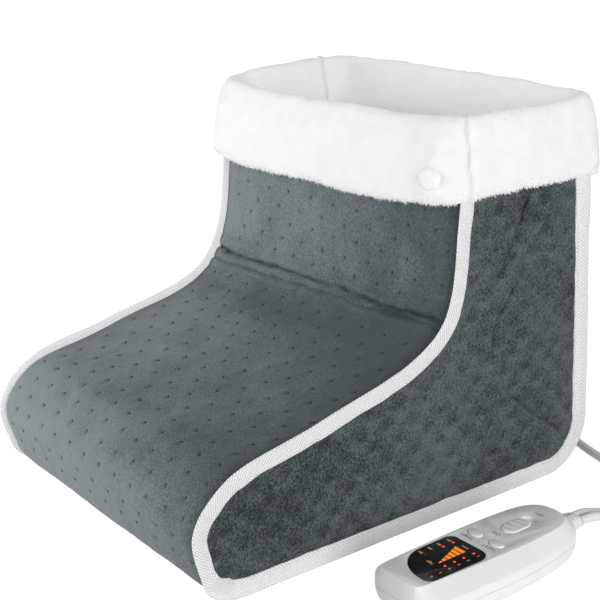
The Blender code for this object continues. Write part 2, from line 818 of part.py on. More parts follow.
def back_shell():
    """The lower half of the housing: a tray with screw bosses and posts for the board."""
    edge = PARTING_Z - GAP / 2
    outer = [(0.0, edge), (0.3, 6.0 * MM), (1.6, 2.2 * MM), (3.6, 0.5 * MM), (5.0, 0.0)]
    inner = [(6.2, WALL), (4.8, 2.5 * MM), (2.4, 6.2 * MM), (2.0, edge)]
    rings = [housing_ring(inset * MM, 0.0, z) for inset, z in inner]
    rings += [housing_ring(inset * MM, 0.0, z) for inset, z in outer]
    shell = loft("controller_back_shell", rings, plastic_white())
    boolean(shell, columns("back_bosses", 4.8 * MM, 1.2 * MM, 9.6 * MM, SCREW_SPOTS), "UNION")
    boolean(shell, columns("board_posts", 2.0 * MM, 1.2 * MM, 11.2 * MM, POST_SPOTS, 12), "UNION")
    boolean(shell, columns("screw_recesses", 3.4 * MM, -2 * MM, 6.2 * MM, SCREW_SPOTS), "DIFFERENCE")
    boolean(shell, columns("shank_holes", 1.7 * MM, 4 * MM, 12 * MM, SCREW_SPOTS, 12), "DIFFERENCE")
    boolean(shell, relief_hole(), "DIFFERENCE")
    return shell


def housing_screw(name, at):
    """A pan-head screw, up through the back shell into the front shell's boss."""
    profile = [
        (0.0, 14.0), (0.7, 13.6), (1.2, 12.6), (1.2, 5.9),
        (2.9, 5.9), (2.9, 5.0), (2.2, 4.2), (0.9, 4.0), (0.0, 4.0),
    ]
    screw = turned(name, [(r * MM, h * MM) for r, h in profile], metal(), 16)
    screw.location = (at[0], at[1], 0)
    return screw


def circuit_board():
    loop = rounded_rectangle(14.6 * MM, -49 * MM, 61 * MM, 2 * MM, 2)
    board = flat("circuit_board", loop, BOARD_Z[1] - BOARD_Z[0], board_green())
    board.location.z = (BOARD_Z[0] + BOARD_Z[1]) / 2
    return board


def led_spots():
    left = [(f"led_heat_{6 - row}", LED_LEFT_X, y * MM) for row, y in enumerate(LED_ROWS)]
    right = [(f"led_timer_{8 - 2 * row}h", LED_RIGHT_X, y * MM) for row, y in enumerate(LED_ROWS[2:])]
    return left + right


def light_guide():
    """A block with one well for each lamp, so that each lights only its own place on the window."""
    low = BOARD_Z[1] + GAP
    loop = rounded_rectangle(13.2 * MM, 12 * MM, 56.4 * MM, 1.5 * MM, 2)
    rings = [at_height(loop, low), at_height(loop, 20.0 * MM)]
    guide = loft("light_guide", rings, plastic_white())
    wells = columns("guide_wells", 1.9 * MM, 10 * MM, 22 * MM, [spot[1:] for spot in led_spots()], 12)
    boolean(guide, wells, "DIFFERENCE")
    return guide


def led(name, x, y):
    low = BOARD_Z[1] + GAP
    lamp = [at_height(ellipse(1.2 * MM, 1.2 * MM, 0, (x, y), 12), low)]
    lamp.append(at_height(ellipse(1.2 * MM, 1.2 * MM, 0, (x, y), 12), low + 2.0 * MM))
    lamp.append(at_height(ellipse(0.7 * MM, 0.7 * MM, 0, (x, y), 12), low + 2.8 * MM))
    return loft(name, lamp, led_red())


def press_button(name, x):
    """An oval cap that stands out of the face, with a wide flange and a stem behind it."""
    levels = (
        (1.4, 1.4, BUTTON_STEM_Z / MM), (1.4, 1.4, 20.1), (6.9, 5.0, 20.1), (6.9, 5.0, 21.3),
        (5.5, 3.6, 21.3), (5.5, 3.6, 24.3), (5.2, 3.3, 24.7), (4.3, 2.5, 24.95), (2.4, 1.3, 25.05),
    )
    rings = [ellipse(a * MM, b * MM, z * MM - FACE_Z, (0, 0)) for a, b, z in levels]
    button = loft(name, rings, plastic_white())
    button.location = (x, BUTTON_Y, FACE_Z)
    return button


def tact_switch(name, x):
    """A small press switch on the board under a button."""
    low = BOARD_Z[1] + GAP
    body = box(name, (6 * MM, 6 * MM, 3.4 * MM), (x, BUTTON_Y, low + 1.7 * MM), bakelite())
    top = BUTTON_STEM_Z - BUTTON_TRAVEL - GAP
    plunger = rod(name + "_plunger", 1.7 * MM, low + 2 * MM, top, (x, BUTTON_Y), bakelite(), CUTTERS)
    return boolean(body, plunger, "UNION")


def power_slider():
    """The power switch's knob: a long head with three grip grooves, and a stem into the switch."""
    half_y = KNOB_LENGTH / 2
    levels = ((0.0, 21.1), (0.0, 23.9), (0.35, 24.4), (0.9, 24.65), (1.7, 24.75))
    rings = []
    for inset, z in levels:
        loop = stadium(KNOB_WIDTH / 2 - inset * MM, half_y - inset * MM)
        rings.append(at_height(loop, z * MM))
    knob = loft("power_slider", rings, plastic_white())
    stem = box("slider_stem", (3.0 * MM, 8 * MM, 5.4 * MM), (0, 0, 18.7 * MM), plastic_white(), CUTTERS)
    grooves = []
    groove_size = (9.4 * MM, 0.9 * MM, 1.2 * MM)
    for y in (-4.9, 0.0, 4.9):
        grooves.append(box("groove", groove_size, (0, y * MM, 24.9 * MM), plastic_white(), CUTTERS))
    stem.parent = knob
    boolean(knob, stem, "UNION")
    cutter = merged("grip_grooves", grooves)
    cutter.parent = knob
    boolean(knob, cutter, "DIFFERENCE")
    knob.location.y = knob_middle()
    return knob


def slide_switch():
    """The slide switch on the board, with a channel that takes the knob's stem."""
    low = BOARD_Z[1] + GAP
    middle = knob_middle() - SLIDE_TRAVEL / 2
    body = box("slide_switch", (9 * MM, 18 * MM, 4.6 * MM), (0, middle, low + 2.3 * MM), metal())
    size = (3.8 * MM, 14.6 * MM, 4 * MM)
    channel = box("switch_channel", size, (0, middle, low + 4.1 * MM), metal(), CUTTERS)
    return boolean(body, channel, "DIFFERENCE")


def relief_ring(half_x, half_z, y):
    return [Vector((p[0], y, PARTING_Z + p[1])) for p in stadium(half_x, half_z, 6)]


def relief_hole():
    rings = [relief_ring(6.9 * MM, 4.3 * MM, y * MM) for y in (-61.0, -76.0)]
    return loft("relief_hole", rings, plastic_white(), CUTTERS)


def strain_relief():
    """The moulded relief at the tail: a flange inside, a neck in the wall, a slotted taper outside."""
    levels = (
        (8.2, 4.9, -62.6), (8.2, 4.9, -64.2), (6.6, 4.0, -64.2), (6.6, 4.0, -69.3), (7.5, 4.9, -69.3),
        (7.3, 4.7, -72.0), (6.6, 4.2, -77.6), (6.2, 3.8, -79.0), (5.9, 3.4, RELIEF_TIP_Y / MM),
    )
    relief = loft("strain_relief", [relief_ring(a * MM, b * MM, y * MM) for a, b, y in levels], cord_white())
    slits = []
    for y in (-72.0, -75.2):
        for x in (-3.0, 3.0):
            for z in (-4.6, 4.6):
                at = (x * MM, y * MM, PARTING_Z + z * MM)
                slits.append(box("slit", (4.2 * MM, 1.0 * MM, 2.2 * MM), at, cord_white(), CUTTERS))
    return boolean(relief, merged("relief_slits", slits), "DIFFERENCE")


def controller():
    """Builds every piece of the controller and puts it beside the boot, head forwards."""
    before = set(bpy.data.objects)
    back_shell()
    front_shell()
    display_window()
    light_guide()
    circuit_board()
    for name, x, y in led_spots():
        led(name, x, y)
    press_button("heat_button", -BUTTON_X)
    press_button("timer_button", BUTTON_X)
    tact_switch("heat_switch", -BUTTON_X)
    tact_switch("timer_switch", BUTTON_X)
    power_slider()
    slide_switch()
    strain_relief()
    for number, at in enumerate(SCREW_SPOTS, 1):
        housing_screw(f"housing_screw_{number}", at)
    place = bpy.data.objects.new("controller_place", None)
    PARTS.objects.link(place)
    place.location = CONTROLLER_AT
    place.rotation_euler = (0, 0, math.pi)
    for obj in set(bpy.data.objects) - before - {place}:
        if obj.parent is None:
            obj.parent = place


# Cords and plug


def cord_start(offset):
    """Where a cord leaves the strain relief, in the world."""
    return Vector((CONTROLLER_AT[0] + offset, CONTROLLER_AT[1] - RELIEF_TIP_Y + GAP, PARTING_Z))


def cord_drop(offset):
    """The first stretch of a cord: straight out of the relief, then down to the floor."""
    start = cord_start(offset)
    made = []
    drop = ((0.0, 10.85), (5.0, 10.85), (13.0, 9.9), (25.0, 6.0), (38.0, 3.4))
    for ahead, z in drop:
        made.append((start.x, start.y + ahead * MM, z * MM))
    return made


def on_floor(*points):
    """Points of a cord that lies on the floor, from their X and Y in millimetres."""
    return [(x * MM, y * MM, CORD_RADIUS + 0.05 * MM) for x, y in points]


def laid(name, route, spacing):
    """A cord along a route, smoothed and kept from sinking into the floor."""
    points = even(route, spacing)
    for point in points:
        point.z = max(point.z, CORD_RADIUS + 0.05 * MM)
    return tube(name, points, CORD_RADIUS, cord_white())


def heater_cord():
    """The low voltage cord, from the controller round behind the heel to the gland."""
    route = cord_drop(-CORD_SPACING / 2)
    route += on_floor((194.5, 128), (185, 146), (167, 159), (146, 167.5), (120, 175), (88, 187))
    route += on_floor((52, 207), (18, 234), (-12, 258), (-40, 268), (-62, 260), (-72, 243))
    route += [
        (GLAND_X, 226 * MM, 6.0 * MM),
        (GLAND_X, 209 * MM, 13.5 * MM),
        (GLAND_X, GLAND_TIP_Y + 12 * MM, GLAND_Z - 1.0 * MM),
        (GLAND_X, GLAND_TIP_Y + 5 * MM, GLAND_Z),
        (GLAND_X, GLAND_TIP_Y + GAP, GLAND_Z),
    ]
    return laid("heater_cord", route, 11 * MM)


def mains_cord():
    """The mains cord, from the controller to the outside of its coil."""
    route = cord_drop(CORD_SPACING / 2)
    route += on_floor((205.5, 135), (209.5, 160), (213, 185), (214.2, 208))
    return laid("mains_cord", route, 11 * MM)


def mains_coil():
    """The outer shape of the wound mains cord: four turns under three."""
    half = 2 * CORD_RADIUS + 1.5 * CORD_RADIUS
    low_out = COIL_MEAN_R + 4 * CORD_RADIUS
    low_in = COIL_MEAN_R - 4 * CORD_RADIUS
    top = 2 * CORD_RADIUS + COIL_LAYER
    profile = [
        (COIL_MEAN_R + half - 1.5 * MM, top),
        (low_out - CORD_RADIUS, top - 1.4 * MM),
        (low_out, CORD_RADIUS + 1 * MM),
        (low_out, CORD_RADIUS - 1 * MM),
        (low_out - 1.8 * MM, 0.1 * MM),
        (low_in + 1.8 * MM, 0.1 * MM),
        (low_in, CORD_RADIUS - 1 * MM),
        (low_in, CORD_RADIUS + 1 * MM),
        (low_in + CORD_RADIUS, top - 1.4 * MM),
        (COIL_MEAN_R - half + 1.5 * MM, top),
        (COIL_MEAN_R + half - 1.5 * MM, top),
    ]
    coil = turned("mains_coil", profile, cord_white(), 30)
    coil.location = (*COIL_AT, 0)
    return coil


def mains_tail():
    """The short end of the mains cord, from the coil to the plug."""
    route = on_floor((189.3, 262.1), (178, 267.5))
    route += [
        (PLUG_TIP_X + 26 * MM, PLUG_Y - 0.6 * MM, 4.2 * MM),
        (PLUG_TIP_X + 13 * MM, PLUG_Y + 0.2 * MM, PLUG_Z - 1.4 * MM),
        (PLUG_TIP_X + 6 * MM, PLUG_Y, PLUG_Z),
        (PLUG_TIP_X + GAP, PLUG_Y, PLUG_Z),
    ]
    return laid("mains_tail", route, 8 * MM)


def plug():
    """A two-blade plug that lies on the floor, blades towards -X."""
    levels = (
        (3.7, 3.7, 0.0), (4.2, 4.2, -1.5), (4.6, 4.6, -10.0), (5.6, 5.2, -12.0), (8.6, 6.4, -17.0),
        (11.0, 7.6, -24.0), (12.4, 8.0, -33.0), (12.6, 8.0, -40.0), (12.0, 7.4, -41.5),
    )
    rings = []
    for half_y, half_z, x in levels:
        loop = []
        for i in range(24):
            angle = 2 * math.pi * i / 24
            power = 0.62 if x <= -17.0 else 1.0
            cos = math.copysign(abs(math.cos(angle)) ** power, math.cos(angle))
            sin = math.copysign(abs(math.sin(angle)) ** power, math.sin(angle))
            loop.append(Vector((PLUG_TIP_X + x * MM, PLUG_Y + cos * half_y * MM, PLUG_Z + sin * half_z * MM)))
        rings.append(loop)
    body = loft("plug_body", rings, cord_white())
    front = PLUG_TIP_X - 41.5 * MM
    for number, side in ((1, -1), (2, 1)):
        middle = (front - GAP - 8.0 * MM, PLUG_Y + side * 6.35 * MM, PLUG_Z)
        blade = box(f"plug_blade_{number}", (16 * MM, 1.5 * MM, 6.3 * MM), middle, brass())
        hole = rod(f"blade_hole_{number}", 1.6 * MM, -4 * MM, 4 * MM, (0, 0), brass(), CUTTERS, 12)
        hole.rotation_euler = (math.pi / 2, 0, 0)
        hole.location = (front - 11.5 * MM, middle[1], PLUG_Z)
        boolean(blade, hole, "DIFFERENCE")
    return body


def boot():
    side_panel("side_panel_right", 1)
    side_panel("side_panel_left", -1)
    binding("binding_right", 1)
    binding("binding_left", -1)
    back = gussets()
    sole_panel()
    side_lining("side_lining_right", 1)
    side_lining("side_lining_left", -1)
    lining_strip("front_lining", front_part)
    lining_strip("back_lining", back_part)
    heater_parts()
    cord_gland(back)
    cuff()


def cords():
    heater_cord()
    mains_cord()
    mains_coil()
    mains_tail()
    plug()


boot()
controller()
cords()
print(len([o for o in PARTS.objects if o.type != "EMPTY"]), "pieces")
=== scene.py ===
# %% [markdown]
# # Electric foot warmer
# A large plush boot for both feet, sewn from two boot-shaped sides and a gusset, with white tape on its
# seams, a folded fleece cuff, and a hand controller on a cord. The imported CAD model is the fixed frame.
# Each soft solid of it gets a cloth piece here, and each moulded part gets a finished surface.

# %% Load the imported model
import json
import math

import bmesh
import bpy
import numpy as np
from mathutils import Matrix, Vector
from mathutils.geometry import delaunay_2d_cdt

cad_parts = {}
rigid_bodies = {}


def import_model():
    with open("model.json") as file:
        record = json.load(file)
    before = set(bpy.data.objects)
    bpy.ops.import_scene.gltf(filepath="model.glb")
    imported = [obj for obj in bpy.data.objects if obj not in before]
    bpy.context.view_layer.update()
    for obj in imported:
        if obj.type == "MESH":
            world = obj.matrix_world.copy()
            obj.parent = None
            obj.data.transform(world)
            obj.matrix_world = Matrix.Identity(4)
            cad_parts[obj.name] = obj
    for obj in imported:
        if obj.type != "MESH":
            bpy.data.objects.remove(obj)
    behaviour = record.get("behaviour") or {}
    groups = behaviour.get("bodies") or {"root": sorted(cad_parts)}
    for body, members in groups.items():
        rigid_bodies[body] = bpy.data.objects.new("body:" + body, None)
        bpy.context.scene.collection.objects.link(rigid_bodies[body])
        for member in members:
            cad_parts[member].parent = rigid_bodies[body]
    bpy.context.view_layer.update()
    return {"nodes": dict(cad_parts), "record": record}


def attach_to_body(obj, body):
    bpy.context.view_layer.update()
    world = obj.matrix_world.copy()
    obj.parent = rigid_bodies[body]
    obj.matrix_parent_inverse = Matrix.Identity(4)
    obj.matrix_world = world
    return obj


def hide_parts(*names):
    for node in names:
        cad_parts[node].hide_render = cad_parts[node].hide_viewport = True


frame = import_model()
MM = 0.001
ROOT = "foot_warmer"

# %% [markdown]
# The camera comes first, because everything is judged from it. Its place and lens were fitted to the
# corners of the cuff, the toe and the sole: a long lens about 0.86 m away, a little above the cuff.
# The three vectors are the picture's right and up, and the way from the object back to the camera.

# %% Camera
RIGHT = Vector((0.59543, 0.80283, -0.03052))
UP = Vector((-0.22384, 0.20226, 0.95341))
BACK = Vector((0.77160, -0.56085, 0.30013))
EYE = Vector((0.6783, -0.4804, 0.3844))

lens = bpy.data.cameras.new("photo_camera")
lens.lens = 76.17
lens.sensor_width = 36
lens.clip_start = 0.02
camera = bpy.data.objects.new("photo_camera", lens)
bpy.context.scene.collection.objects.link(camera)
camera.matrix_world = Matrix.Translation(EYE) @ Matrix((RIGHT, UP, BACK)).transposed().to_4x4()
bpy.context.scene.camera = camera
print("camera at", tuple(round(v, 3) for v in EYE), "with a", lens.lens, "mm lens")

# %% [markdown]
# Every node tree here, of a material, of the world or of Geometry Nodes, is built with one function: it adds
# a node, sets or links its sockets, and gives back one output. A `Look` holds a material's tree and adds
# short ways to write a finish, so that each finish below reads as a few lines.

# %% Node and material helpers


def set_all(target, **settings):
    for key, value in settings.items():
        setattr(target, key, value)
    return target


def put(tree, node, socket, value):
    """Sets a socket to a number or colour, or links it to another node's output."""
    target = node.inputs[socket]
    if isinstance(value, bpy.types.NodeSocket):
        tree.links.new(value, target)
    else:
        target.default_value = (*value, 1.0) if target.type == "RGBA" else value


def add_node(tree, kind, sockets, out=0, **settings):
    """Adds a node and gives back one of its outputs."""
    made = set_all(tree.nodes.new(kind), **settings)
    for socket, value in sockets.items():
        put(tree, made, socket, value)
    return made.outputs[out]


class Look:
    """A node material with a Principled shader, and short ways to add to it."""

    def __init__(self, name, colour, roughness, **sockets):
        self.material = bpy.data.materials.new(name)
        self.material.use_nodes = True
        self.tree = self.material.node_tree
        self.set(Base_Color=colour, Roughness=roughness, **sockets)

    def set(self, **sockets):
        """Sets or links the shader's own sockets, whose names are written with _ for a space."""
        for socket, value in sockets.items():
            put(self.tree, self.tree.nodes["Principled BSDF"], socket.replace("_", " "), value)

    def node(self, kind, sockets, out=0, **settings):
        return add_node(self.tree, "ShaderNode" + kind, sockets, out, **settings)

    def math(self, operation, a, b=0.0, c=0.0):
        return self.node("Math", {0: a, 1: b, 2: c}, operation=operation)

    def coords(self, which="Object"):
        return self.node("TexCoord", {}, which)

    def axis(self, number, which="Object"):
        """One coordinate alone, by its number: 0, 1 or 2 for X, Y or Z."""
        return self.node("SeparateXYZ", {0: self.coords(which)}, number)

    def attribute(self, name):
        """A number that the mesh holds for each of its points, or 0 where it holds none."""
        return self.node("Attribute", {}, 2, attribute_name=name)

    def noise(self, scale, detail=2.0, where=None, roughness=0.5):
        """Noise by the number of its features in a metre."""
        sockets = {"Vector": where or self.coords(), "Scale": scale, "Detail": detail, "Roughness": roughness}
        return self.node("TexNoise", sockets)

    def waves(self, scale, distortion, **settings):
        """Fine parallel bands, as of a twisted thread or a plain weave."""
        sockets = {"Vector": self.coords(), "Scale": scale, "Distortion": distortion}
        return self.node("TexWave", sockets, **settings)

    def spread(self, value, low, high, to_low=0.0, to_high=1.0):
        """Stretches one range of values to another, and clips what lies beyond it."""
        sockets = {"Value": value, "From Min": low, "From Max": high, "To Min": to_low, "To Max": to_high}
        return self.node("MapRange", sockets)

    def mix(self, share, low, high):
        """Blends two colours, or two colour outputs."""
        return self.node("Mix", {0: share, 6: low, 7: high}, 2, data_type="RGBA")

    def bump(self, height, distance, strength=1.0, below=None):
        """Puts a bump of a real height in metres on the shader, on top of another one if given."""
        sockets = {"Height": height, "Distance": distance, "Strength": strength}
        if below is not None:
            sockets["Normal"] = below
        made = self.node("Bump", sockets)
        self.set(Normal=made)
        return made


def tint(colour, factor):
    return tuple(min(1.0, channel * factor) for channel in colour)


print("node and material helpers ready")

# %% [markdown]
# The floor and the world are plain and pale. Both add to what the camera sees, through Light Path, so the
# background is white while the object is lit at a plain level. Three soft lamps light the boot. Two stand
# low: one before the toe, on the camera's left, and one beside the near side, so that the dark side panel
# shows its pile. The third is weak and fills in from above the toe.

# %% Floor, world and lamps
AMBIENT = 0.35
FLOOR_COLOUR = (0.70, 0.70, 0.70)
FLOOR_GLOW = 0.82
FLOOR_REACH = 7.0
LAMP_AIM = Vector((0.02, 0.0, 0.12))


def linked(name, data):
    """A new object in the scene."""
    made = bpy.data.objects.new(name, data)
    bpy.context.scene.collection.objects.link(made)
    return made


def raw_mesh(name, verts, faces=(), edges=()):
    mesh = bpy.data.meshes.new(name)
    mesh.from_pydata(np.asarray(verts, float).tolist(), edges, faces)
    return mesh


def seen_directly(tree):
    """1 for camera, glossy and transmission rays, and 0 for the rays that light the object."""
    total = 0.0
    for name in ("Is Camera Ray", "Is Glossy Ray", "Is Transmission Ray"):
        ray = add_node(tree, "ShaderNodeLightPath", {}, name)
        total = add_node(tree, "ShaderNodeMath", {0: total, 1: ray}, operation="MAXIMUM")
    return total


def pale_world():
    world = bpy.data.worlds.new("pale_world")
    bpy.context.scene.world = world
    world.use_nodes = True
    tree = world.node_tree
    light, shown = (
        add_node(tree, "ShaderNodeBackground", {"Color": (1, 1, 1), "Strength": level})
        for level in (AMBIENT, 1.0)
    )
    both = add_node(tree, "ShaderNodeMixShader", {0: seen_directly(tree), 1: light, 2: shown})
    tree.links.new(both, tree.nodes["World Output"].inputs["Surface"])


def pale_floor():
    corners = [(x * FLOOR_REACH, y * FLOOR_REACH, -0.2 * MM) for x, y in ((-1, -1), (1, -1), (1, 1), (-1, 1))]
    floor = linked("floor", raw_mesh("floor", corners, [(0, 1, 2, 3)]))
    look = bpy.data.materials.new("floor_white")
    look.use_nodes = True
    tree = look.node_tree
    lift = add_node(tree, "ShaderNodeMath", {0: seen_directly(tree), 1: FLOOR_GLOW}, operation="MULTIPLY")
    glow = add_node(tree, "ShaderNodeEmission", {"Strength": lift})
    matte = add_node(tree, "ShaderNodeBsdfDiffuse", {"Color": FLOOR_COLOUR})
    both = add_node(tree, "ShaderNodeAddShader", {0: matte, 1: glow})
    tree.links.new(both, tree.nodes["Material Output"].inputs["Surface"])
    tree.nodes.remove(tree.nodes["Principled BSDF"])
    floor.data.materials.append(look)


def lamp(name, direction, distance, size, level):
    """A square soft lamp that points at the object. Level 1 lights a white face square to it to white."""
    light = bpy.data.lights.new(name, "AREA")
    light.size = size
    light.energy = level * math.pi ** 2 * distance ** 2
    away = Vector(direction).normalized()
    turned = away.to_track_quat("Z", "Y").to_matrix().to_4x4()
    linked(name, light).matrix_world = Matrix.Translation(LAMP_AIM + away * distance) @ turned


pale_world()
pale_floor()
lamp("toe_lamp", (-0.62, -0.78, 0.12), 0.95, 0.4, 0.53)
lamp("fill_lamp", (-0.2, -0.75, 0.65), 1.6, 1.0, 0.06)
lamp("side_lamp", (1.0, -0.26, 0.14), 1.8, 1.0, 0.72)
bpy.context.scene.view_settings.view_transform = "Standard"
print("floor, world and 3 lamps")

# %% [markdown]
# Two cords leave the controller: a low voltage cord that goes round the heel to the gland, and the mains
# cord with its plug. A cord has a fixed length and lies under its own weight, so each route is a list of
# points in metres that a smooth curve passes through, and its curve object has the cord's real radius.

# %% Paths through points


def smooth_path(points, steps=24):
    """Points along a centripetal Catmull-Rom curve through the given ones."""
    p = np.asarray(points, float)
    p = np.vstack([2 * p[0] - p[1], p, 2 * p[-1] - p[-2]])
    made = []
    share = np.linspace(0, 1, steps, endpoint=False)[:, None]
    for p0, p1, p2, p3 in zip(p, p[1:], p[2:], p[3:]):
        t1, t2, t3 = np.cumsum([np.linalg.norm(b - a) ** 0.5 for a, b in ((p0, p1), (p1, p2), (p2, p3))])
        t = t1 + (t2 - t1) * share
        a1 = p0 + (p1 - p0) * t / t1
        a2 = p1 + (p2 - p1) * (t - t1) / (t2 - t1)
        a3 = p2 + (p3 - p2) * (t - t2) / (t3 - t2)
        b1 = a1 + (a2 - a1) * t / t2
        b2 = a2 + (a3 - a2) * (t - t1) / (t3 - t1)
        made.append(b1 + (b2 - b1) * (t - t1) / (t2 - t1))
    return np.vstack([*made, p[-2][None]])


def along(path):
    """The distance of each point from the path's start."""
    return np.concatenate([[0.0], np.cumsum(np.linalg.norm(np.diff(path, axis=0), axis=1))])


def even_path(path, spacing):
    """The same path with its points about one spacing apart."""
    reach = along(path)
    want = np.linspace(0, reach[-1], max(2, round(reach[-1] / spacing)) + 1)
    return np.stack([np.interp(want, reach, path[:, axis]) for axis in range(path.shape[1])], axis=1)


CORD_RADIUS = 2.9 * MM
CORD_FLOOR = CORD_RADIUS + 0.05 * MM
CORD_SPACING = 6.8 * MM
CONTROLLER_AT = np.array((200.0, -5.0)) * MM
RELIEF_TIP = 79.4 * MM
DROP = ((0.3, 10.85), (5.3, 10.85), (13.3, 9.9), (25.3, 6.0), (38.3, 3.4))
GLAND = np.array((-75.0, 182.0, 19.0)) * MM


def cord_start(side):
    """The first stretch of a cord: straight out of the strain relief, then down to the floor."""
    x = CONTROLLER_AT[0] + side * CORD_SPACING / 2
    y = CONTROLLER_AT[1] + RELIEF_TIP
    return [(x, y + ahead * MM, z * MM) for ahead, z in DROP]


def on_floor(*points):
    return [(x * MM, y * MM, CORD_FLOOR) for x, y in points]


def settled(points, spacing, steps=24):
    """A smooth, even route that never sinks into the floor."""
    route = even_path(smooth_path(points, steps), spacing)
    route[:, 2] = np.maximum(route[:, 2], CORD_FLOOR)
    return route


def heater_route():
    points = cord_start(-1)
    points += on_floor((194.5, 128), (185, 146), (167, 159), (146, 167.5), (120, 175), (88, 187))
    points += on_floor((52, 207), (18, 234), (-12, 258), (-40, 268), (-62, 260), (-72, 243))
    for ahead, z in ((44, 6.0), (27, 13.5), (12, 18.0), (5, 19.0), (0.3, 19.0)):
        points.append((GLAND[0], GLAND[1] + ahead * MM, z * MM))
    return settled(points, 4 * MM)


print("heater cord route", round(float(along(heater_route())[-1]), 3), "m")

# %% [markdown]
# The unseen length of the mains cord is wound as it would be for storage: four flat turns, and three on
# top that lie in the grooves between them. The radius stays constant for most of a turn and steps to the
# next groove in one short sector, as on a hand-wound coil. The strap lies under the coil, so the coil is
# 0.6 mm off the floor.

# %% Coil route
COIL_AT = np.array((165.0, 220.0)) * MM
STRAP = 0.6 * MM
LOW_TURNS = (41.0, 35.2, 29.4, 23.6)
HIGH_TURNS = (26.5, 32.3, 38.1)
LOW_Z = (CORD_FLOOR + STRAP) / MM
HIGH_Z = LOW_Z + 5.05


def coil_route():
    """Points of the coil, from the floor outside it to the floor outside it again."""
    keys = [(-13.7, 50.6, CORD_FLOOR / MM), (25, LOW_TURNS[0], LOW_Z)]
    angle = 25
    radii = [*((r, LOW_Z) for r in LOW_TURNS), *((r, HIGH_Z) for r in HIGH_TURNS)]
    for (radius, z), (new_radius, new_z) in zip(radii, radii[1:]):
        keys.append((angle + 320, radius, z))
        hump = 0.7 if z == HIGH_Z else 0.0
        keys.append((angle + 340, (radius + new_radius) / 2, max(z, new_z) * 0.5 + (z + new_z) / 4 + hump))
        angle += 360
        keys.append((angle, new_radius, new_z))
    keys += [(angle + 335, 38.1, HIGH_Z), (angle + 357, 41.5, HIGH_Z + 0.8)]
    keys += [(angle + 374, 45.4, HIGH_Z - 1.0), (angle + 395, 48.6, CORD_FLOOR / MM)]
    keys = np.array(keys)
    angles = np.arange(keys[0, 0], keys[-1, 0], 3.0)
    window = np.hanning(9) / np.hanning(9).sum()
    rounded = []
    for column in (1, 2):
        values = np.interp(angles, keys[:, 0], keys[:, column])
        rounded.append(np.convolve(np.pad(values, 4, mode="edge"), window, mode="valid"))
    turn = np.radians(angles)
    x = COIL_AT[0] + rounded[0] * MM * np.cos(turn)
    y = COIL_AT[1] + rounded[0] * MM * np.sin(turn)
    return np.stack([x, y, rounded[1] * MM], axis=1)


def mains_route():
    lead = cord_start(1) + on_floor((205.5, 135), (209.5, 160), (213, 185))
    tail = [(178, 267.5, 2.95), (166, 270.6, 4.2), (153, 271.4, 6.8), (146, 271.2, 8.2), (140.3, 271.2, 8.2)]
    tail = [(x * MM, y * MM, z * MM) for x, y, z in tail]
    points = [*lead, *coil_route()[::4], *tail]
    return settled(points, 3.6 * MM, 12)


mains_length = float(along(mains_route())[-1])
print("mains cord route", round(mains_length, 3), "m")

# %% [markdown]
# White PVC sheath is smooth but never flat: it has a faint waviness and a soft gloss. The same finish
# serves the strain relief, the gland and the plug, which are moulded from the same plastic.

# %% Cord finish and cord pieces


def pvc_white():
    look = Look("cord_pvc", (0.80, 0.80, 0.79), 0.42, Specular_IOR_Level=0.45)
    look.set(Base_Color=look.mix(look.noise(90, 3), (0.76, 0.76, 0.75), (0.83, 0.83, 0.82)))
    look.set(Roughness=look.spread(look.noise(400, 2), 0.3, 0.7, 0.36, 0.5))
    look.bump(look.noise(700, 2), 0.05 * MM)
    return look.material


PVC = pvc_white()


def attach(piece, slot, *nodes, body=ROOT):
    """Makes a piece ride on a body and stand for CAD nodes, which it hides. slot is not used."""
    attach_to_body(piece, body)
    if nodes:
        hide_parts(*nodes)
    return piece


def cord_piece(name, route):
    curve = bpy.data.curves.new(name, "CURVE")
    set_all(curve, dimensions="3D", bevel_depth=CORD_RADIUS, bevel_resolution=4, use_fill_caps=True)
    spline = curve.splines.new("POLY")
    spline.points.add(len(route) - 1)
    spline.points.foreach_set("co", np.hstack([route, np.ones((len(route), 1))]).ravel())
    spline.use_smooth = True
    curve.materials.append(PVC)
    return linked(name, curve)


heater_cord = attach(cord_piece("low_voltage_cord", heater_route()), "cord", "heater_cord")
mains_cord = attach(
    cord_piece("mains_lead", mains_route()), "cord", "mains_cord", "mains_coil", "mains_tail"
)
print("2 cords")

# %% [markdown]
# Every mesh that is worked out in numpy is made by one function. It can take a UV map and float
# attributes, so that a material can follow the cloth instead of the space round it. `cloud` is smooth
# noise for moving points, and `bell` is a rounded bump that fades out on both sides.

# %% Mesh from arrays


def outward_faces(mesh, weld=0.0):
    """Joins points that lie closer than weld, and turns every face outwards."""
    bm = bmesh.new()
    bm.from_mesh(mesh)
    if weld:
        bmesh.ops.remove_doubles(bm, verts=bm.verts, dist=weld)
    bmesh.ops.recalc_face_normals(bm, faces=bm.faces)
    bm.to_mesh(mesh)
    bm.free()


def made_mesh(name, verts, faces, look, uv=None, sharp=None, **attributes):
    """A mesh object from arrays, with its faces turned out. uv and the attributes are for each vertex."""
    mesh = raw_mesh(name, verts, faces)
    outward_faces(mesh)
    if uv is not None:
        corner = np.zeros(len(mesh.loops), np.int32)
        mesh.loops.foreach_get("vertex_index", corner)
        layer = mesh.uv_layers.new(name="cloth")
        layer.data.foreach_set("uv", np.asarray(uv, np.float32)[corner].ravel())
    for key, values in attributes.items():
        values = np.asarray(values, np.float32).ravel()
        mesh.attributes.new(key, "FLOAT", "POINT").data.foreach_set("value", values)
    mesh.shade_smooth()
    if sharp:
        mesh.set_sharp_from_angle(angle=math.radians(sharp))
    mesh.materials.append(look)
    return linked(name, mesh)


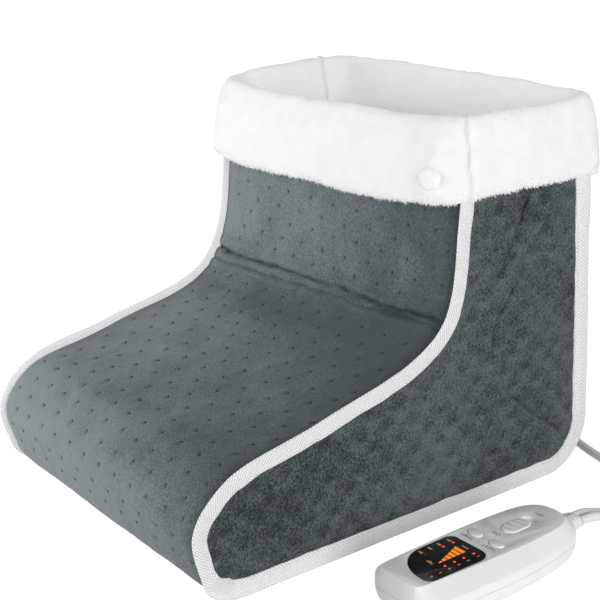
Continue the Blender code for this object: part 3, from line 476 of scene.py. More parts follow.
def ring_faces(rows, across, closed_rows=False, closed_across=True, caps=False):
    """Quads between neighbouring rows of equal count, and a face over each end if caps are asked for."""
    faces = []
    for row in range(rows if closed_rows else rows - 1):
        here = row * across
        there = (row + 1) % rows * across
        for column in range(across if closed_across else across - 1):
            after = (column + 1) % across
            faces.append((here + column, here + after, there + after, there + column))
    if caps:
        faces += [tuple(range(across)), tuple(range((rows - 1) * across, rows * across))]
    return faces


def cloud(points, size, seed):
    """Smooth noise between -1 and 1, the same every run, with features of about the size."""
    cell = np.asarray(points, float) / size
    base = np.floor(cell).astype(np.int64)
    part = cell - base
    part = part * part * (3 - 2 * part)
    total = np.zeros(cell.shape[:-1])
    for corner in range(2 ** cell.shape[-1]):
        weight = np.ones_like(total)
        mixed = np.full(total.shape, seed * 7919 + 17, np.int64)
        for axis in range(cell.shape[-1]):
            step = (corner >> axis) & 1
            weight *= part[..., axis] if step else 1 - part[..., axis]
            mixed = (mixed * 1000003) ^ ((base[..., axis] + step) * 8191 + 131 * axis)
        mixed = ((mixed ^ (mixed >> 13)) * 1274126177) & 0xFFFFFFFF
        total += weight * (((mixed ^ (mixed >> 16)) & 0xFFFF) / 32767.5 - 1)
    return total


def clouds(points, *layers):
    """A sum of clouds, each given by its amount, its size in millimetres and its seed."""
    return sum(amount * cloud(points, size * MM, seed) for amount, size, seed in layers)


def bell(value, middle, width):
    return np.exp(-((value - middle) / width) ** 2)

# %% [markdown]
# A strap of hook-and-loop tape holds the coil. It is a flat band round the coil's section, so it is two
# loops, inner and outer, swept over its width.

# %% Coil strap
STRAP_TURN = math.radians(205)
STRAP_HALF = 4.0 * MM


def rounded_box(half_x, half_y, radius, steps=5):
    """A counter-clockwise loop with round corners about the origin."""
    loop = []
    for turn, (sx, sy) in zip((0, 90, 180, 270), ((1, 1), (-1, 1), (-1, -1), (1, -1))):
        for angle in np.radians(np.linspace(turn, turn + 90, steps)):
            x = sx * (half_x - radius) + radius * math.cos(angle)
            loop.append((x, sy * (half_y - radius) + radius * math.sin(angle)))
    return np.array(loop)


def strap_look():
    look = Look("strap_fabric", (0.05, 0.05, 0.052), 0.9)
    weave = look.waves(380.0, 1.0)
    look.set(Base_Color=look.mix(weave, (0.03, 0.03, 0.032), (0.075, 0.075, 0.078)))
    look.bump(weave, 0.15 * MM)
    return look.material


def coil_strap():
    out = np.array((math.cos(STRAP_TURN), math.sin(STRAP_TURN)))
    side = np.array((-out[1], out[0]))
    middle_r, half_r = 32.3 * MM, 12.4 * MM
    half_height = (HIGH_Z + 3.1) * MM / 2
    verts = []
    for grow, swap in ((STRAP, 1), (STRAP, -1), (0.0, -1), (0.0, 1)):
        loop = rounded_box(half_r + grow, half_height + grow / 2, 3.5 * MM + grow)
        for r, z in loop:
            spot = COIL_AT + out * (middle_r + r) + side * swap * STRAP_HALF
            verts.append((*spot, max(0.0, z + half_height + grow / 2)))
    return made_mesh("coil_strap", verts, ring_faces(4, len(loop), closed_rows=True), strap_look(), sharp=40)


strap = attach(coil_strap(), "component_black")
tuple(heater_route()[0])
round(float(along(heater_route())[-1]), 3)
tuple(mains_route()[0])
print("coil strap")

# %% [markdown]
# The boot's side outline is one line in the Y and Z plane: down the leg, over the instep, round the toe,
# along the sole, round the heel and up the back. Everything that is sewn follows it at some depth, so the
# outline is made once, with a function that moves it inwards.

# %% Boot outline
LEG_AND_TOE = (
    (45.7, 250), (31, 148), (9, 117.5), (-69, 94.5), (-137, 77), (-160, 50), (-155.563, 15.842),
)


def arc(centre, radius, start, stop, steps):
    angles = np.radians(np.linspace(start, stop, steps + 1))
    return np.stack([centre[0] + radius * np.cos(angles), centre[1] + radius * np.sin(angles)], axis=1)


FRONT_LINE = np.vstack([smooth_path(LEG_AND_TOE, 24), arc((-136, 20), 20, 192, 270, 12)[1:]]) * MM
BACK_LINE = np.vstack([arc((124, 38), 38, -90, 0, 20), [(157.3, 238)]]) * MM
WHOLE_LINE = even_path(np.vstack([FRONT_LINE, BACK_LINE]), 1.5 * MM)


def outward(path):
    """The unit normals of a path in Y and Z that point out of the boot."""
    ahead = np.gradient(path, axis=0)
    ahead /= np.linalg.norm(ahead, axis=1)[:, None]
    return np.stack([ahead[:, 1], -ahead[:, 0]], axis=1)


def inset(path, depth):
    """The path moved into the boot by a depth, or by one depth for each point."""
    return path - outward(path) * np.reshape(depth, (-1, 1))


def tape_width(path):
    """The tape shows 10.5 mm up the front, 12 mm along the sole and 14 mm up the heel, and most at the toe."""
    reach = along(path)
    corner = reach[np.argmin(np.linalg.norm(path - np.array((-148, 2)) * MM, axis=1))]
    heel = reach[np.argmin(np.linalg.norm(path - np.array((150, 10)) * MM, axis=1))]
    stops = np.array((-100, -45, -22, 0, 20)) * MM + corner
    stops = (*stops, heel - 20 * MM, heel + 20 * MM, heel + 140 * MM, reach[-1])
    return np.interp(reach, stops, np.array((10.5, 10.0, 9.4, 14.6, 12.2, 12.0, 13.6, 13.2, 15.0)) * MM)


def bell(value, middle, width):
    return np.exp(-((value - middle) / width) ** 2)


NEAR_SWAY = (
    (60, 80, 92, 101, 108, 114, 120, 127, 136, 148, 165, 185, 210, 238),
    (0.0, 1.2, 1.1, 0.2, -0.3, 0.1, 1.2, 2.7, 3.9, 3.5, 1.8, 0.6, 0.8, 1.3),
)


def sway(path, side):
    """How far the soft boot gives way inwards at its ankle on the near side, and bulges on the far side.

    side is 1 for the near side, -1 for the far side, and anything between for the cloth between them."""
    front = np.clip((70 * MM - path[..., 0]) / (10 * MM), 0, 1)
    near = np.interp(path[..., 1] / MM, NEAR_SWAY[0], NEAR_SWAY[1]) * MM * front
    leg = bell(np.linalg.norm(path - np.array((36, 188)) * MM, axis=-1), 0, 45 * MM)
    toe = bell(np.linalg.norm(path - np.array((-150, 3)) * MM, axis=-1), 0, 16 * MM)
    return (near + 1.3 * MM * toe) * (1 + side) / 2 + (2.4 * toe - 2.2 * leg) * MM * (1 - side) / 2


def side_line(sign):
    return even_path(inset(WHOLE_LINE, sway(WHOLE_LINE, sign)), 1.5 * MM)


TRIM_Z = 237 * MM
print("outline", round(float(along(WHOLE_LINE)[-1]), 3), "m long")

# %% [markdown]
# The boot's upper is short plush: a dense velvet pile about a millimetre long, on a foam backing. It is
# dark where it is seen end on and lighter where the pile leans over, so it gets a soft sheen, a fine grain,
# and patches where the nap was brushed another way, all drawn out along the nap. Two attributes of the mesh
# add to its colour. One makes it darker where the pile is parted at the pinches, and paints shade into the
# creases, folds and puckers and beside the near tape. The other paints light and shade onto the side
# panels' bubbles and folds, and makes the panels lighter or darker in steps along Y. On the gusset, painted
# light makes the pile lighter towards the far side, round the toe and near the floor, and painted shade
# makes it darker at the ankle.

# %% Plush finish


def plush(name, dark, light, patch, mottle, turn, fine_share, broad, lean=0.0):
    """patch is the number of brushed patches in a metre, and mottle, fine_share and broad are how much each
    size of grain counts. turn is the pile's direction about X, and lean sets the painted light and shade by
    place."""
    look = Look(name, dark, 0.92, Sheen_Weight=0.22, Sheen_Roughness=0.38, Specular_IOR_Level=0.12)
    look.set(Sheen_Tint=(0.80, 0.86, 0.88))
    along_nap = {"Vector": look.coords(), "Rotation": (turn, 0, 0), "Scale": (1, 1, 1.8)}
    brushed = look.node("Mapping", along_nap, vector_type="TEXTURE")
    nap = look.spread(look.noise(patch, 4, brushed, 0.62), 0.34, 0.66)
    fine = look.spread(look.noise(1150, 2, brushed, 0.6), 0.37, 0.63)
    rest = (1 - fine_share - mottle) / 2
    share = look.math("MULTIPLY_ADD", fine, fine_share, look.math("MULTIPLY_ADD", nap, mottle, rest))
    # Broad random tone, and the painted light and shade that the side panels carry in an attribute.
    tone_and_painted_light = [look.spread(look.noise(24, 2), 0.35, 0.65, -broad, broad), look.attribute("nap")]
    # Painted light and shade by place on the gusset: lighter towards the far side, round the toe and near the
    # floor, darker at the ankle.
    if lean:
        from_ankle = look.math("ABSOLUTE", look.math("SUBTRACT", look.axis(1), 0.008))
        tone_and_painted_light += [
            look.spread(look.axis(0), -0.13, 0.13, lean, -lean),
            look.spread(look.axis(1), -0.165, -0.125, 0.5, 0.0),
            look.spread(look.axis(2), 0.0, 0.05, 0.35, 0.0),
            look.spread(from_ankle, 0.0, 0.034, -0.6, 0.0),
        ]
    for part in tone_and_painted_light:
        share = look.math("ADD", share, part)
    # The pile is darker where it is parted at the pinches, and painted shade darkens creases, folds, puckers
    # and the band beside the near tape.
    parted_and_shaded_share = look.math("MULTIPLY", look.attribute("pinch"), 0.85)
    look.set(Base_Color=look.mix(parted_and_shaded_share, look.mix(share, dark, light), tint(dark, 0.18)))
    tufts = look.bump(look.noise(1000, 2, brushed, 0.6), 0.7 * MM, 0.9)
    look.bump(look.noise(160, 3), 0.9 * MM, 0.5, below=tufts)
    return look.material


PLUSH_LIGHT = plush(
    "gusset_plush", (0.075, 0.092, 0.098), (0.225, 0.253, 0.260),
    patch=45.0, mottle=0.26, turn=0.0, fine_share=0.66, broad=0.09, lean=0.5,
)
PLUSH_DARK = plush(
    "side_plush", (0.022, 0.028, 0.031), (0.128, 0.147, 0.151),
    patch=170.0, mottle=0.24, turn=-0.7, fine_share=0.9, broad=0.13,
)
print("plush finishes")

# %% [markdown]
# The front gusset is one wide strip that runs down the leg, over the instep and round the toe. It is
# quilted by small pinches set in staggered rows, about 22 mm apart. Their places were measured in the
# photograph as a distance down the strip and across it, so the rows keep their own spacing and drift.

# %% Pinches of the gusset
GUSSET_DEPTH = 5.3 * MM
GUSSET_HALF = 127.5 * MM
GUSSET_ROWS = (
    (22, 2, 25.7), (33, -11, 25.7), (44, 1.8, 25.7), (55.3, -10.5, 25.6),
    (66.5, 1.6, 25.6), (77.7, 14.6, 25.4), (88.8, 4.1, 25.0), (100, 18, 24.0), (111, 33.1, 22.8),
    (141.1, -3.5, 22.2), (153.7, 8.0, 22.2), (166.2, -2.8, 22.2), (178.8, 9.8, 22.5), (191.3, -1.0, 22.7),
    (203.9, 13.6, 24.0), (216.4, 3.8, 24.0), (229, 21.6, 24.0), (241.5, 8.2, 24.4), (254, 20.0, 23.6),
    (266.6, 11.6, 24.2), (279.2, 20.5, 22.0), (291.7, 6.0, 20.6), (304.3, 14.6, 19.9), (316.8, 4.6, 20.3),
    (329, 12.7, 20.0), (341, 3.4, 20.0), (353, 14.0, 20.6),
)


def gusset_pinches():
    """Each of the pinches as its distance down the strip and across it."""
    wander = np.random.default_rng(5)
    made = []
    for down, start, pitch in GUSSET_ROWS:
        first = math.ceil((-120 - start) / pitch)
        last = math.floor((120 - start) / pitch)
        for step in range(first, last + 1):
            dx, dy = wander.normal(0, 0.55, 2)
            made.append((down + dy, start + step * pitch + dx))
    return np.array(made) * MM


PINCHES = gusset_pinches()
print(len(PINCHES), "pinches in the front gusset")

# %% [markdown]
# The cloth between its pinches is padded, so it is simulated: a coarse grid of cloth is held at its edges
# and at every pinch, and a little air pressure from behind fills it. Blender's Cloth then finds the soft
# pillows and the small drag lines between the pins, which are slow to draw by hand. The grid is read back,
# made finer, and gets the sharp pinches and creases that a coarse grid can't carry.

# %% Cloth held by pins
CLOTH = {
    "quality": 4, "mass": 0.12, "tension_stiffness": 12, "compression_stiffness": 8, "shear_stiffness": 6,
    "bending_stiffness": 1.5, "tension_damping": 12, "compression_damping": 12, "air_damping": 4,
    "vertex_group_mass": "held", "shrink_min": -0.002, "use_pressure": True,
}
CLOTH_FRAMES = 16
COARSE = 3.0 * MM


def blown(verts, faces, held, pressure, cap):
    """How far each point of a cloth moves under pressure, cap at most. held is how firmly it is pinned."""
    mesh = raw_mesh("cloth_trial", verts, faces)
    trial = linked("cloth_trial", mesh)
    group = trial.vertex_groups.new(name="held")
    for index in np.flatnonzero(held > 0.01).tolist():
        group.add([index], float(held[index]), "REPLACE")
    cloth = trial.modifiers.new("cloth", "CLOTH")
    set_all(cloth.settings, **CLOTH, uniform_pressure_force=pressure)
    cloth.settings.effector_weights.gravity = 0
    cloth.collision_settings.use_collision = False
    set_all(cloth.point_cache, frame_start=1, frame_end=CLOTH_FRAMES)
    for step in range(1, CLOTH_FRAMES + 1):
        bpy.context.scene.frame_set(step)
    done = trial.evaluated_get(bpy.context.evaluated_depsgraph_get())
    moved = np.zeros(len(verts) * 3)
    done.data.vertices.foreach_get("co", moved)
    moved = moved.reshape(-1, 3) - verts
    bpy.data.objects.remove(trial, do_unlink=True)
    bpy.data.meshes.remove(mesh)
    bpy.context.scene.frame_set(1)
    far = np.linalg.norm(moved, axis=1)
    moved *= np.minimum(1.0, cap / np.maximum(far, 1e-9))[:, None]
    print("cloth moved up to", round(float(far.max()) / MM, 2), "mm, mean", round(float(far.mean()) / MM, 2))
    return moved


def nearest(points, spots):
    """The distance from each point to its nearest spot, worked out in blocks."""
    flat = points.reshape(-1, points.shape[-1])
    made = []
    for block in np.array_split(flat, max(1, len(flat) // 4000)):
        made.append(np.linalg.norm(block[:, None, :] - spots[None, :, :], axis=2).min(axis=1))
    return np.concatenate(made).reshape(points.shape[:-1])


print("cloth helper ready")

# %% [markdown]
# A gusset is a grid: rows go down the outline and columns across the boot. Its back is one plain wide face
# for each row, as nobody sees it, so the piece is closed and stays light. The front gusset's cloth lies 4 mm
# under the tape's edge on the instep and swells up to it on the toe. Two long creases cross it at the ankle,
# with ragged lines and small puckers. It gets painted shade in the creases, in the puckers' hollows and
# beside the near tape, and it is darker at the pinches, partly as parted pile and partly as painted shade.

# %% Front gusset


def walled_sheet(name, grid, back, look, uv, **attributes):
    """A closed sheet: a fine grid of points in front, and one wide face for each row behind."""
    rows, columns = grid.shape[:2]
    verts = np.vstack([grid.reshape(-1, 3), back[:, 0], back[:, 1]])
    faces = ring_faces(rows, columns, closed_across=False)
    left = rows * columns
    right = left + rows
    for row in range(rows - 1):
        here = row * columns
        there = here + columns
        faces.append((here, there, left + row + 1, left + row))
        faces.append((here + columns - 1, right + row, right + row + 1, there + columns - 1))
        faces.append((left + row, left + row + 1, right + row + 1, right + row))
    last = (rows - 1) * columns
    faces.append((*range(columns), right, left))
    faces.append((*range(last, last + columns), right + rows - 1, left + rows - 1))
    spare = np.zeros(2 * rows)
    padded = {key: np.concatenate([values.ravel(), spare]) for key, values in attributes.items()}
    return made_mesh(name, verts, faces, look, np.vstack([uv, np.zeros((2 * rows, 2))]), 60, **padded)


def padded_strip(line, step, pinches, pressure, cap):
    """A gusset's fine grid: its path, how far down and across each point lies, and the blown height."""
    coarse = even_path(line, COARSE)
    wide = np.linspace(-GUSSET_HALF, GUSSET_HALF, round(2 * GUSSET_HALF / COARSE) + 1)
    down = along(coarse)
    d, a = np.meshgrid(down, wide, indexing="ij")
    rim = np.minimum(GUSSET_HALF - np.abs(a), np.minimum(d, down[-1] - d))
    held = bell(nearest(np.stack([d, a], axis=2), pinches), 0, 2.2 * MM)
    held = np.maximum(held, bell(rim, 0, 1.5 * MM)).ravel()
    verts = np.column_stack([a.ravel(), np.repeat(coarse, len(wide), axis=0)])
    faces = ring_faces(len(coarse), len(wide), closed_across=False)
    moved = blown(verts, faces, np.where(held > 0.1, held, 0.0), pressure, cap)
    lift = np.einsum("ij,ij->i", moved[:, 1:], np.repeat(outward(coarse), len(wide), axis=0)).reshape(d.shape)
    fine = even_path(line, step)
    columns = np.linspace(-GUSSET_HALF, GUSSET_HALF, round(2 * GUSSET_HALF / step) + 1)
    reach = along(fine)
    halfway = np.stack([np.interp(reach, down, lift[:, i]) for i in range(len(wide))], axis=1)
    height = np.stack([np.interp(columns, wide, row) for row in halfway])
    return fine, *np.meshgrid(reach, columns, indexing="ij"), height


def tack_marks(grid, down, across, spots):
    """For each of the pinches under the cuff's edge, two points on the cloth along the strip."""
    row = np.clip(np.searchsorted(down[:, 0], spots[:, 0]), 1, len(down) - 2)
    column = np.clip(np.searchsorted(across[0], spots[:, 1]), 0, across.shape[1] - 1)
    pairs = np.stack([grid[row - 1, column], grid[row + 1, column]], axis=1)
    return pairs[(pairs[:, :, 2] < 225 * MM).all(axis=1)]


def gusset_cloth(name, path, down, across, rise, pinch, thickness, spots):
    """The finished strip from the height of each point of its front, and the places of its tacks."""
    normals = outward(path)
    spot = path[:, None, :] + normals[:, None, :] * rise[:, :, None]
    grid = np.concatenate([across[:, :, None], spot], axis=2)
    grid[:, :, 2] = np.maximum(grid[:, :, 2], 0.4 * MM)
    inner = path - normals * thickness
    back = np.stack([np.insert(inner, 0, side * (GUSSET_HALF - 0.3 * MM), axis=1) for side in (-1, 1)], axis=1)
    keep = path[:, 1] < TRIM_Z
    uv = np.stack([across[keep].ravel(), down[keep].ravel()], axis=1)
    cloth = walled_sheet(name, grid[keep], back[keep], PLUSH_LIGHT, uv, pinch=pinch[keep])
    return cloth, tack_marks(grid, down, across, spots)


def crease(down, across, places, width):
    """A bell shape along a line that crosses the strip through the given places, in millimetres."""
    spots = np.array(places, float) * MM
    return bell(down, np.interp(across, spots[:, 0], spots[:, 1]), width * MM)


# Each crease is its places across and down the strip, then its width and its depth.
ANKLE_CREASES = (
    (((-130, 120), (-115, 122.4), (-60, 122.0), (-21, 120.8), (67, 121.4), (132, 118.6)), 1.5, 2.8),
    (((-130, 130), (-108, 130.4), (-30, 129.0), (10, 127.5), (74, 125.6), (132, 124.5)), 1.3, 1.7),
    (((-130, 111), (-60, 114.5), (20, 113.0), (132, 110.0)), 2.4, 0.5),
    (((-130, 138), (0, 134.5), (132, 131.0)), 2.8, 0.6),
)


def front_gusset():
    line = even_path(inset(FRONT_LINE, GUSSET_DEPTH), 1.0 * MM)
    path, down, across, height = padded_strip(line, 1.25 * MM, PINCHES, 2.4, 2.0 * MM)
    flat = np.stack([down, across], axis=2)
    gap = nearest(flat, PINCHES)
    mm = down / MM
    rise = np.interp(mm, (0, 118, 150, 255, 300, 330, 362, 380), (1.0, 1.0, 0.9, 1.0, 2.2, 2.8, 3.0, 3.6))
    edge = np.exp(-(GUSSET_HALF - np.abs(across)) / (4.5 * MM))
    rise -= edge * np.interp(mm, (0, 240, 310), (0.6, 0.8, 2.2))
    rise -= 0.8 * bell(across, 111 * MM, 6 * MM) * bell(mm, 200, 70)
    rise -= 0.8 * bell(gap, 0, 1.5 * MM) + 0.25 * bell(gap, 0, 4.0 * MM)
    folded = np.zeros_like(rise)
    for number, (places, width, deep) in enumerate(ANKLE_CREASES):
        ragged = clouds(flat, (1.1, 22, 3), (0.8, 6, 7 + number), (0.35, 3, 17))
        broken = 0.95 + clouds(flat, (0.2, 30, 9), (0.35, 7, 27 + number))
        line_bell = crease(down + MM * ragged, across, places, width) * np.clip(broken, 0.35, 1.3)
        folded += line_bell * deep / 2.8
        rise -= deep * line_bell
    crushed = bell(mm, 124, 11) * np.interp(across / MM, (-126, -60, 0, 60, 126), (0.9, 0.6, 0.4, 1.5, 1.9))
    puckers = cloud(flat * np.array((1.0, 0.24)), 4.6 * MM, 4) * crushed
    rise += 0.75 * puckers + clouds(flat, (0.9, 52, 1), (0.15, 20, 2))
    rise = np.maximum(rise * MM + height - sway(path[:, None, :], across / GUSSET_HALF), -4.4 * MM)
    # Darker at the pinches, partly parted pile and partly painted shade; painted shade in the creases, in the
    # puckers' hollows and beside the near tape.
    pinch = np.maximum(0.42 * bell(gap, 0, 1.6 * MM), 0.95 * np.clip(folded, 0, 1) ** 1.4)
    pinch = np.maximum(pinch, np.clip(-0.5 * puckers, 0, 0.6))
    painted_shade_by_near_tape = bell(across, GUSSET_HALF - 4 * MM, 7 * MM)
    pinch = np.maximum(pinch, painted_shade_by_near_tape * np.interp(mm, (0, 115, 150, 380), (0.42, 0.42, 0.30, 0.24)))
    return gusset_cloth("front_gusset_cloth", path, down, across, rise, pinch, 5.6 * MM, PINCHES)


cloth, front_tacks = front_gusset()
gusset = attach(cloth, "light_plush", "front_gusset")
print("front gusset", len(gusset.data.vertices), "vertices")

# %% [markdown]
# Each side of the boot is one boot-shaped piece of a darker plush, quilted in a diamond pattern of about
# 15 mm, so it looks bubbly. Its outline isn't a rectangle, so its mesh is a triangulation: points along
# the seam and a staggered lattice inside it, joined by Blender's own Delaunay tool. Its height comes from
# the distance to the seam and to the nearest pinch, with long slanting waves where the leg hangs and three
# sharper folds, whose lines were measured in the photograph. Each bubble gets painted light above a pinch
# and painted shade below it, the folds get painted shade, and the pinches are darker, partly as parted
# pile and partly as painted shade. The panel is also made lighter or darker in steps along Y.

# %% Side panels
SIDE_BACK_X = 123.5 * MM
SIDE_SEAM_X = 128.5 * MM
# Each fold is its places in Y and Z, then its width and its depth.
SIDE_FOLDS = (
    (((74, 152), (77, 159), (83, 169), (90, 181), (96, 197), (99, 208)), 1.6, 1.6),
    (((69, 96), (69, 103), (70, 115), (77, 131), (87, 144), (92, 152)), 1.4, 1.8),
    (((142, 26), (136, 30), (121, 42), (104, 55), (87, 69), (80, 76)), 2.2, 1.4),
)
# Places in Y, in millimetres, and how much lighter or darker the side panels are made there.
SIDE_TONE_BY_Y = ((-140, -100, -50, 0, 31, 60, 90, 120), (-0.2, -0.17, -0.1, 0.05, 0.14, 0, -0.08, 0))
SIDE_PITCH_Y = 21.7
SIDE_PITCH_Z = 10.85


def inside(points, loop):
    """Which points lie in a closed loop, by counting the edges above each point."""
    y, z = points[:, :1], points[:, 1:]
    a = loop
    b = np.roll(loop, -1, axis=0)
    spans = (a[:, 0] > y) != (b[:, 0] > y)
    slope = (b[:, 1] - a[:, 1]) / np.where(b[:, 0] == a[:, 0], 1e-12, b[:, 0] - a[:, 0])
    return ((spans & (z < a[:, 1] + slope * (y - a[:, 0]))).sum(axis=1) % 2) == 1


def side_pinches(seed):
    wander = np.random.default_rng(seed)
    made = []
    for row in range(-8, 18):
        shift = SIDE_PITCH_Y / 2 if row % 2 else 0.0
        for step in range(-8, 9):
            dy, dz = wander.normal(0, 0.8, 2)
            made.append((1 + step * SIDE_PITCH_Y + shift - 0.6 * row + dy, 75.4 + row * SIDE_PITCH_Z + dz))
    return np.array(made) * MM


def filled(loop, pitch):
    """Points on a closed loop and inside it, and the triangles that join them."""
    low, high = loop.min(axis=0), loop.max(axis=0)
    lattice = []
    for row, z in enumerate(np.arange(low[1], high[1], pitch * 0.866)):
        y = np.arange(low[0] + (row % 2) * pitch / 2, high[0], pitch)
        lattice.append(np.stack([y, np.full_like(y, z)], axis=1))
    lattice = np.vstack(lattice)
    lattice = lattice[inside(lattice, loop)]
    flat = np.vstack([loop, lattice[nearest(lattice, loop) > pitch / 2]])
    joined = delaunay_2d_cdt([Vector(p) for p in flat.tolist()], [], [list(range(len(loop)))], 1, 1e-7)
    assert len(joined[0]) == len(flat)
    return flat, [tuple(face) for face in joined[2]]


def boxed(front, faces, back):
    """Closes a filled front with a skirt from its outer loop to a loop behind, and a face over that one."""
    start, count = len(front), len(back)
    skirt = [(i, (i + 1) % count, start + (i + 1) % count, start + i) for i in range(count)]
    return np.vstack([front, back]), [*faces, *skirt, tuple(range(start, start + count))]


def side_folds(flat, depth, seed):
    """The three folds as (how far each point is in one, how deep it is pressed there)."""
    folds, pressed = np.zeros(len(flat)), np.zeros(len(flat))
    ragged = clouds(flat, (1.5, 18, seed + 4), (0.7, 5, seed + 5))
    broken = np.clip(0.9 + 0.5 * cloud(flat, 14 * MM, seed + 6), 0.2, 1.2) * np.minimum(1.0, depth / (6 * MM))
    for places, width, deep in SIDE_FOLDS:
        spots = np.array(places, float) * MM
        line_bell = bell(flat[:, 0] + ragged * MM, np.interp(flat[:, 1], spots[:, 1], spots[:, 0]), width * MM)
        line_bell *= broken * np.clip((flat[:, 1] - spots[0, 1]) / (9 * MM), 0, 1)
        line_bell *= np.clip((spots[-1, 1] - flat[:, 1]) / (9 * MM), 0, 1)
        folds += line_bell
        pressed += deep * line_bell
    return folds, pressed


def side_cloth(name, sign, seed):
    line = side_line(sign)
    seam = even_path(inset(line, tape_width(line) - 1.8 * MM), 1.9 * MM)
    seam = seam[seam[:, 1] < TRIM_Z]
    flat, faces = filled(seam, 1.75 * MM)
    y, z = flat.T
    depth = nearest(flat, seam)
    pinches = side_pinches(seed)
    gap = nearest(flat, pinches)
    slant = np.stack([y * 0.86 + z * 0.5, (z * 0.86 - y * 0.5) * 0.22], axis=1)
    quilt = (1.9 * (1 - bell(gap, 0, 5.4 * MM)) - 1.2) * (0.75 + 0.4 * cloud(flat, 38 * MM, seed))
    waves = clouds(slant, (1.1, 12, seed + 1)) + clouds(flat, (0.7, 52, seed + 2))
    folds, pressed = side_folds(flat, depth, seed)
    rise = 0.9 * (1 - np.exp(-depth / (1.5 * MM))) + 1.7 * (1 - np.exp(-depth / (10 * MM)))
    rise += (quilt - 0.5 * bell(gap, 0, 1.6 * MM)) * (1 - np.exp(-depth / (5 * MM)))
    rise += waves * np.minimum(1.0, depth / (14 * MM))
    rise += 0.5 * cloud(flat, 9 * MM, seed + 3) * np.minimum(1.0, depth / (5 * MM)) - pressed
    front = np.column_stack([sign * (SIDE_SEAM_X + rise * MM), flat])
    verts, faces = boxed(front, faces, np.insert(seam, 0, sign * SIDE_BACK_X, axis=1))
    # Painted light above each pinch and painted shade below it and in the folds, with the steps along Y.
    above, below = (nearest(flat + np.array((0.0, up * MM)), pinches) for up in (1.6, -1.6))
    nap = bell(above, 0, 4.4 * MM) - bell(below, 0, 4.4 * MM)
    nap *= np.clip(0.9 + 0.5 * cloud(flat, 30 * MM, seed + 7), 0.2, 1.6)
    nap = 0.44 * nap - 0.35 * folds + np.interp(y / MM, *SIDE_TONE_BY_Y)
    # Darker at the pinches, partly parted pile and partly painted shade, and painted shade in the folds.
    pinch = 0.36 * bell(gap, 0, 1.8 * MM) + 0.42 * folds
    nap, pinch = (np.concatenate([values, np.zeros(len(seam))]) for values in (nap, pinch))
    return made_mesh(name, verts, faces, PLUSH_DARK, np.vstack([flat, seam]), 70, pinch=pinch, nap=nap)


for side, sign, seed in (("right", 1, 21), ("left", -1, 34)):
    panel = attach(side_cloth(f"side_{side}_cloth", sign, seed), "dark_plush", f"side_panel_{side}")
    print(panel.name, len(panel.data.vertices), "vertices")

# %% [markdown]
# White twill tape is folded over every seam and stitched down. It is a narrow loop of cloth, so it is a
# closed section carried along the outline: one leg lies on the side panel, the fold stands proud of the
# boot's edge, and the other leg lies against the gusset. Its weave is a herringbone, drawn by the material
# in the tape's own coordinates: distance along it and distance across it. The tape has a faint painted
# glow that lightens it in shade, a little more on the far side.

# %% Binding tape
# The leg on the side is given by its share of the tape's width and its place in X, and the fold and the
# other leg by their depth from the boot's edge and their place in X, all for the near side.
TAPE_LEG = ((1.0, 128.3), (1.0, 129.75), (0.97, 130.05), (0.80, 130.25), (0.5, 130.5), (0.25, 130.55))
TAPE_FOLD = (
    (0.9, 130.2), (0.2, 129.8), (0.0, 129.25), (0.2, 128.6), (0.9, 128.15), (2.6, 127.95), (6.6, 127.85),
    (6.6, 128.6),
)
TWILL_PITCH = 2.4 * MM
THREAD_PITCH = 0.62 * MM


def tape_look():
    look = Look("tape_twill", (0.83, 0.83, 0.82), 0.72, Sheen_Weight=0.15, Sheen_Roughness=0.5)
    # A painted glow that lightens the tape in shade, stronger towards the far side.
    glow = look.spread(look.axis(0), -0.12, 0.10, 0.27, 0.17)
    look.set(Emission_Color=(1.0, 1.0, 1.0), Emission_Strength=glow)
    length, width = look.axis(0, "UV"), look.axis(1, "UV")
    ribs = look.math("MULTIPLY_ADD", look.math("ABSOLUTE", width), 0.9, length)
    wave = look.math("SINE", look.math("MULTIPLY", ribs, 2 * math.pi / TWILL_PITCH))
    threads = look.math("SINE", look.math("MULTIPLY", width, 2 * math.pi / THREAD_PITCH))
    weave = look.math("MULTIPLY_ADD", threads, 0.25, wave)
    shade = look.math("MULTIPLY_ADD", look.noise(160, 3), 0.4, look.spread(weave, -1.0, 0.4, 0.0, 0.85))
    look.set(Base_Color=look.mix(shade, (0.57, 0.58, 0.58), (0.99, 0.99, 0.99)))
    twill = look.bump(weave, 0.42 * MM)
    look.bump(look.noise(600, 2), 0.15 * MM, 0.6, below=twill)
    return look.material


TAPE = tape_look()


def tape(name, sign, seed):
    line = even_path(side_line(sign), 2.2 * MM)
    reach = along(line)
    where = np.stack([reach, np.full_like(reach, seed)], axis=1)
    width = tape_width(line) + MM * clouds(where, (0.45, 13, seed), (0.25, 4.5, seed + 1))
    waver = MM * clouds(where, (0.30, 24, seed + 2), (0.10, 6, seed + 3))
    columns = [(width * share, x) for share, x in TAPE_LEG]
    columns += [(np.full_like(width, depth * MM), x) for depth, x in TAPE_FOLD]
    rows = []
    for depth, x in columns:
        spot = inset(line, depth)
        spot[:, 1] = np.maximum(spot[:, 1], 0.0)
        rows.append(np.column_stack([sign * (x * MM + waver), spot]))
    girth = np.cumsum([0.0, *(np.linalg.norm(b - a, axis=1).mean() for a, b in zip(rows, rows[1:]))])
    keep = line[:, 1] < TRIM_Z
    rings = np.stack(rows, axis=1)[keep]
    count, across = rings.shape[:2]
    uv = np.stack([np.repeat(reach[keep], across), np.tile(girth - girth[3], count)], axis=1)
    return made_mesh(name, rings.reshape(-1, 3), ring_faces(count, across, caps=True), TAPE, uv, 70)


for side, sign, seed in (("right", 1, 51), ("left", -1, 63)):
    attach(tape(f"tape_{side}", sign, seed), "binding_tape", f"binding_{side}")
print("2 binding tapes")

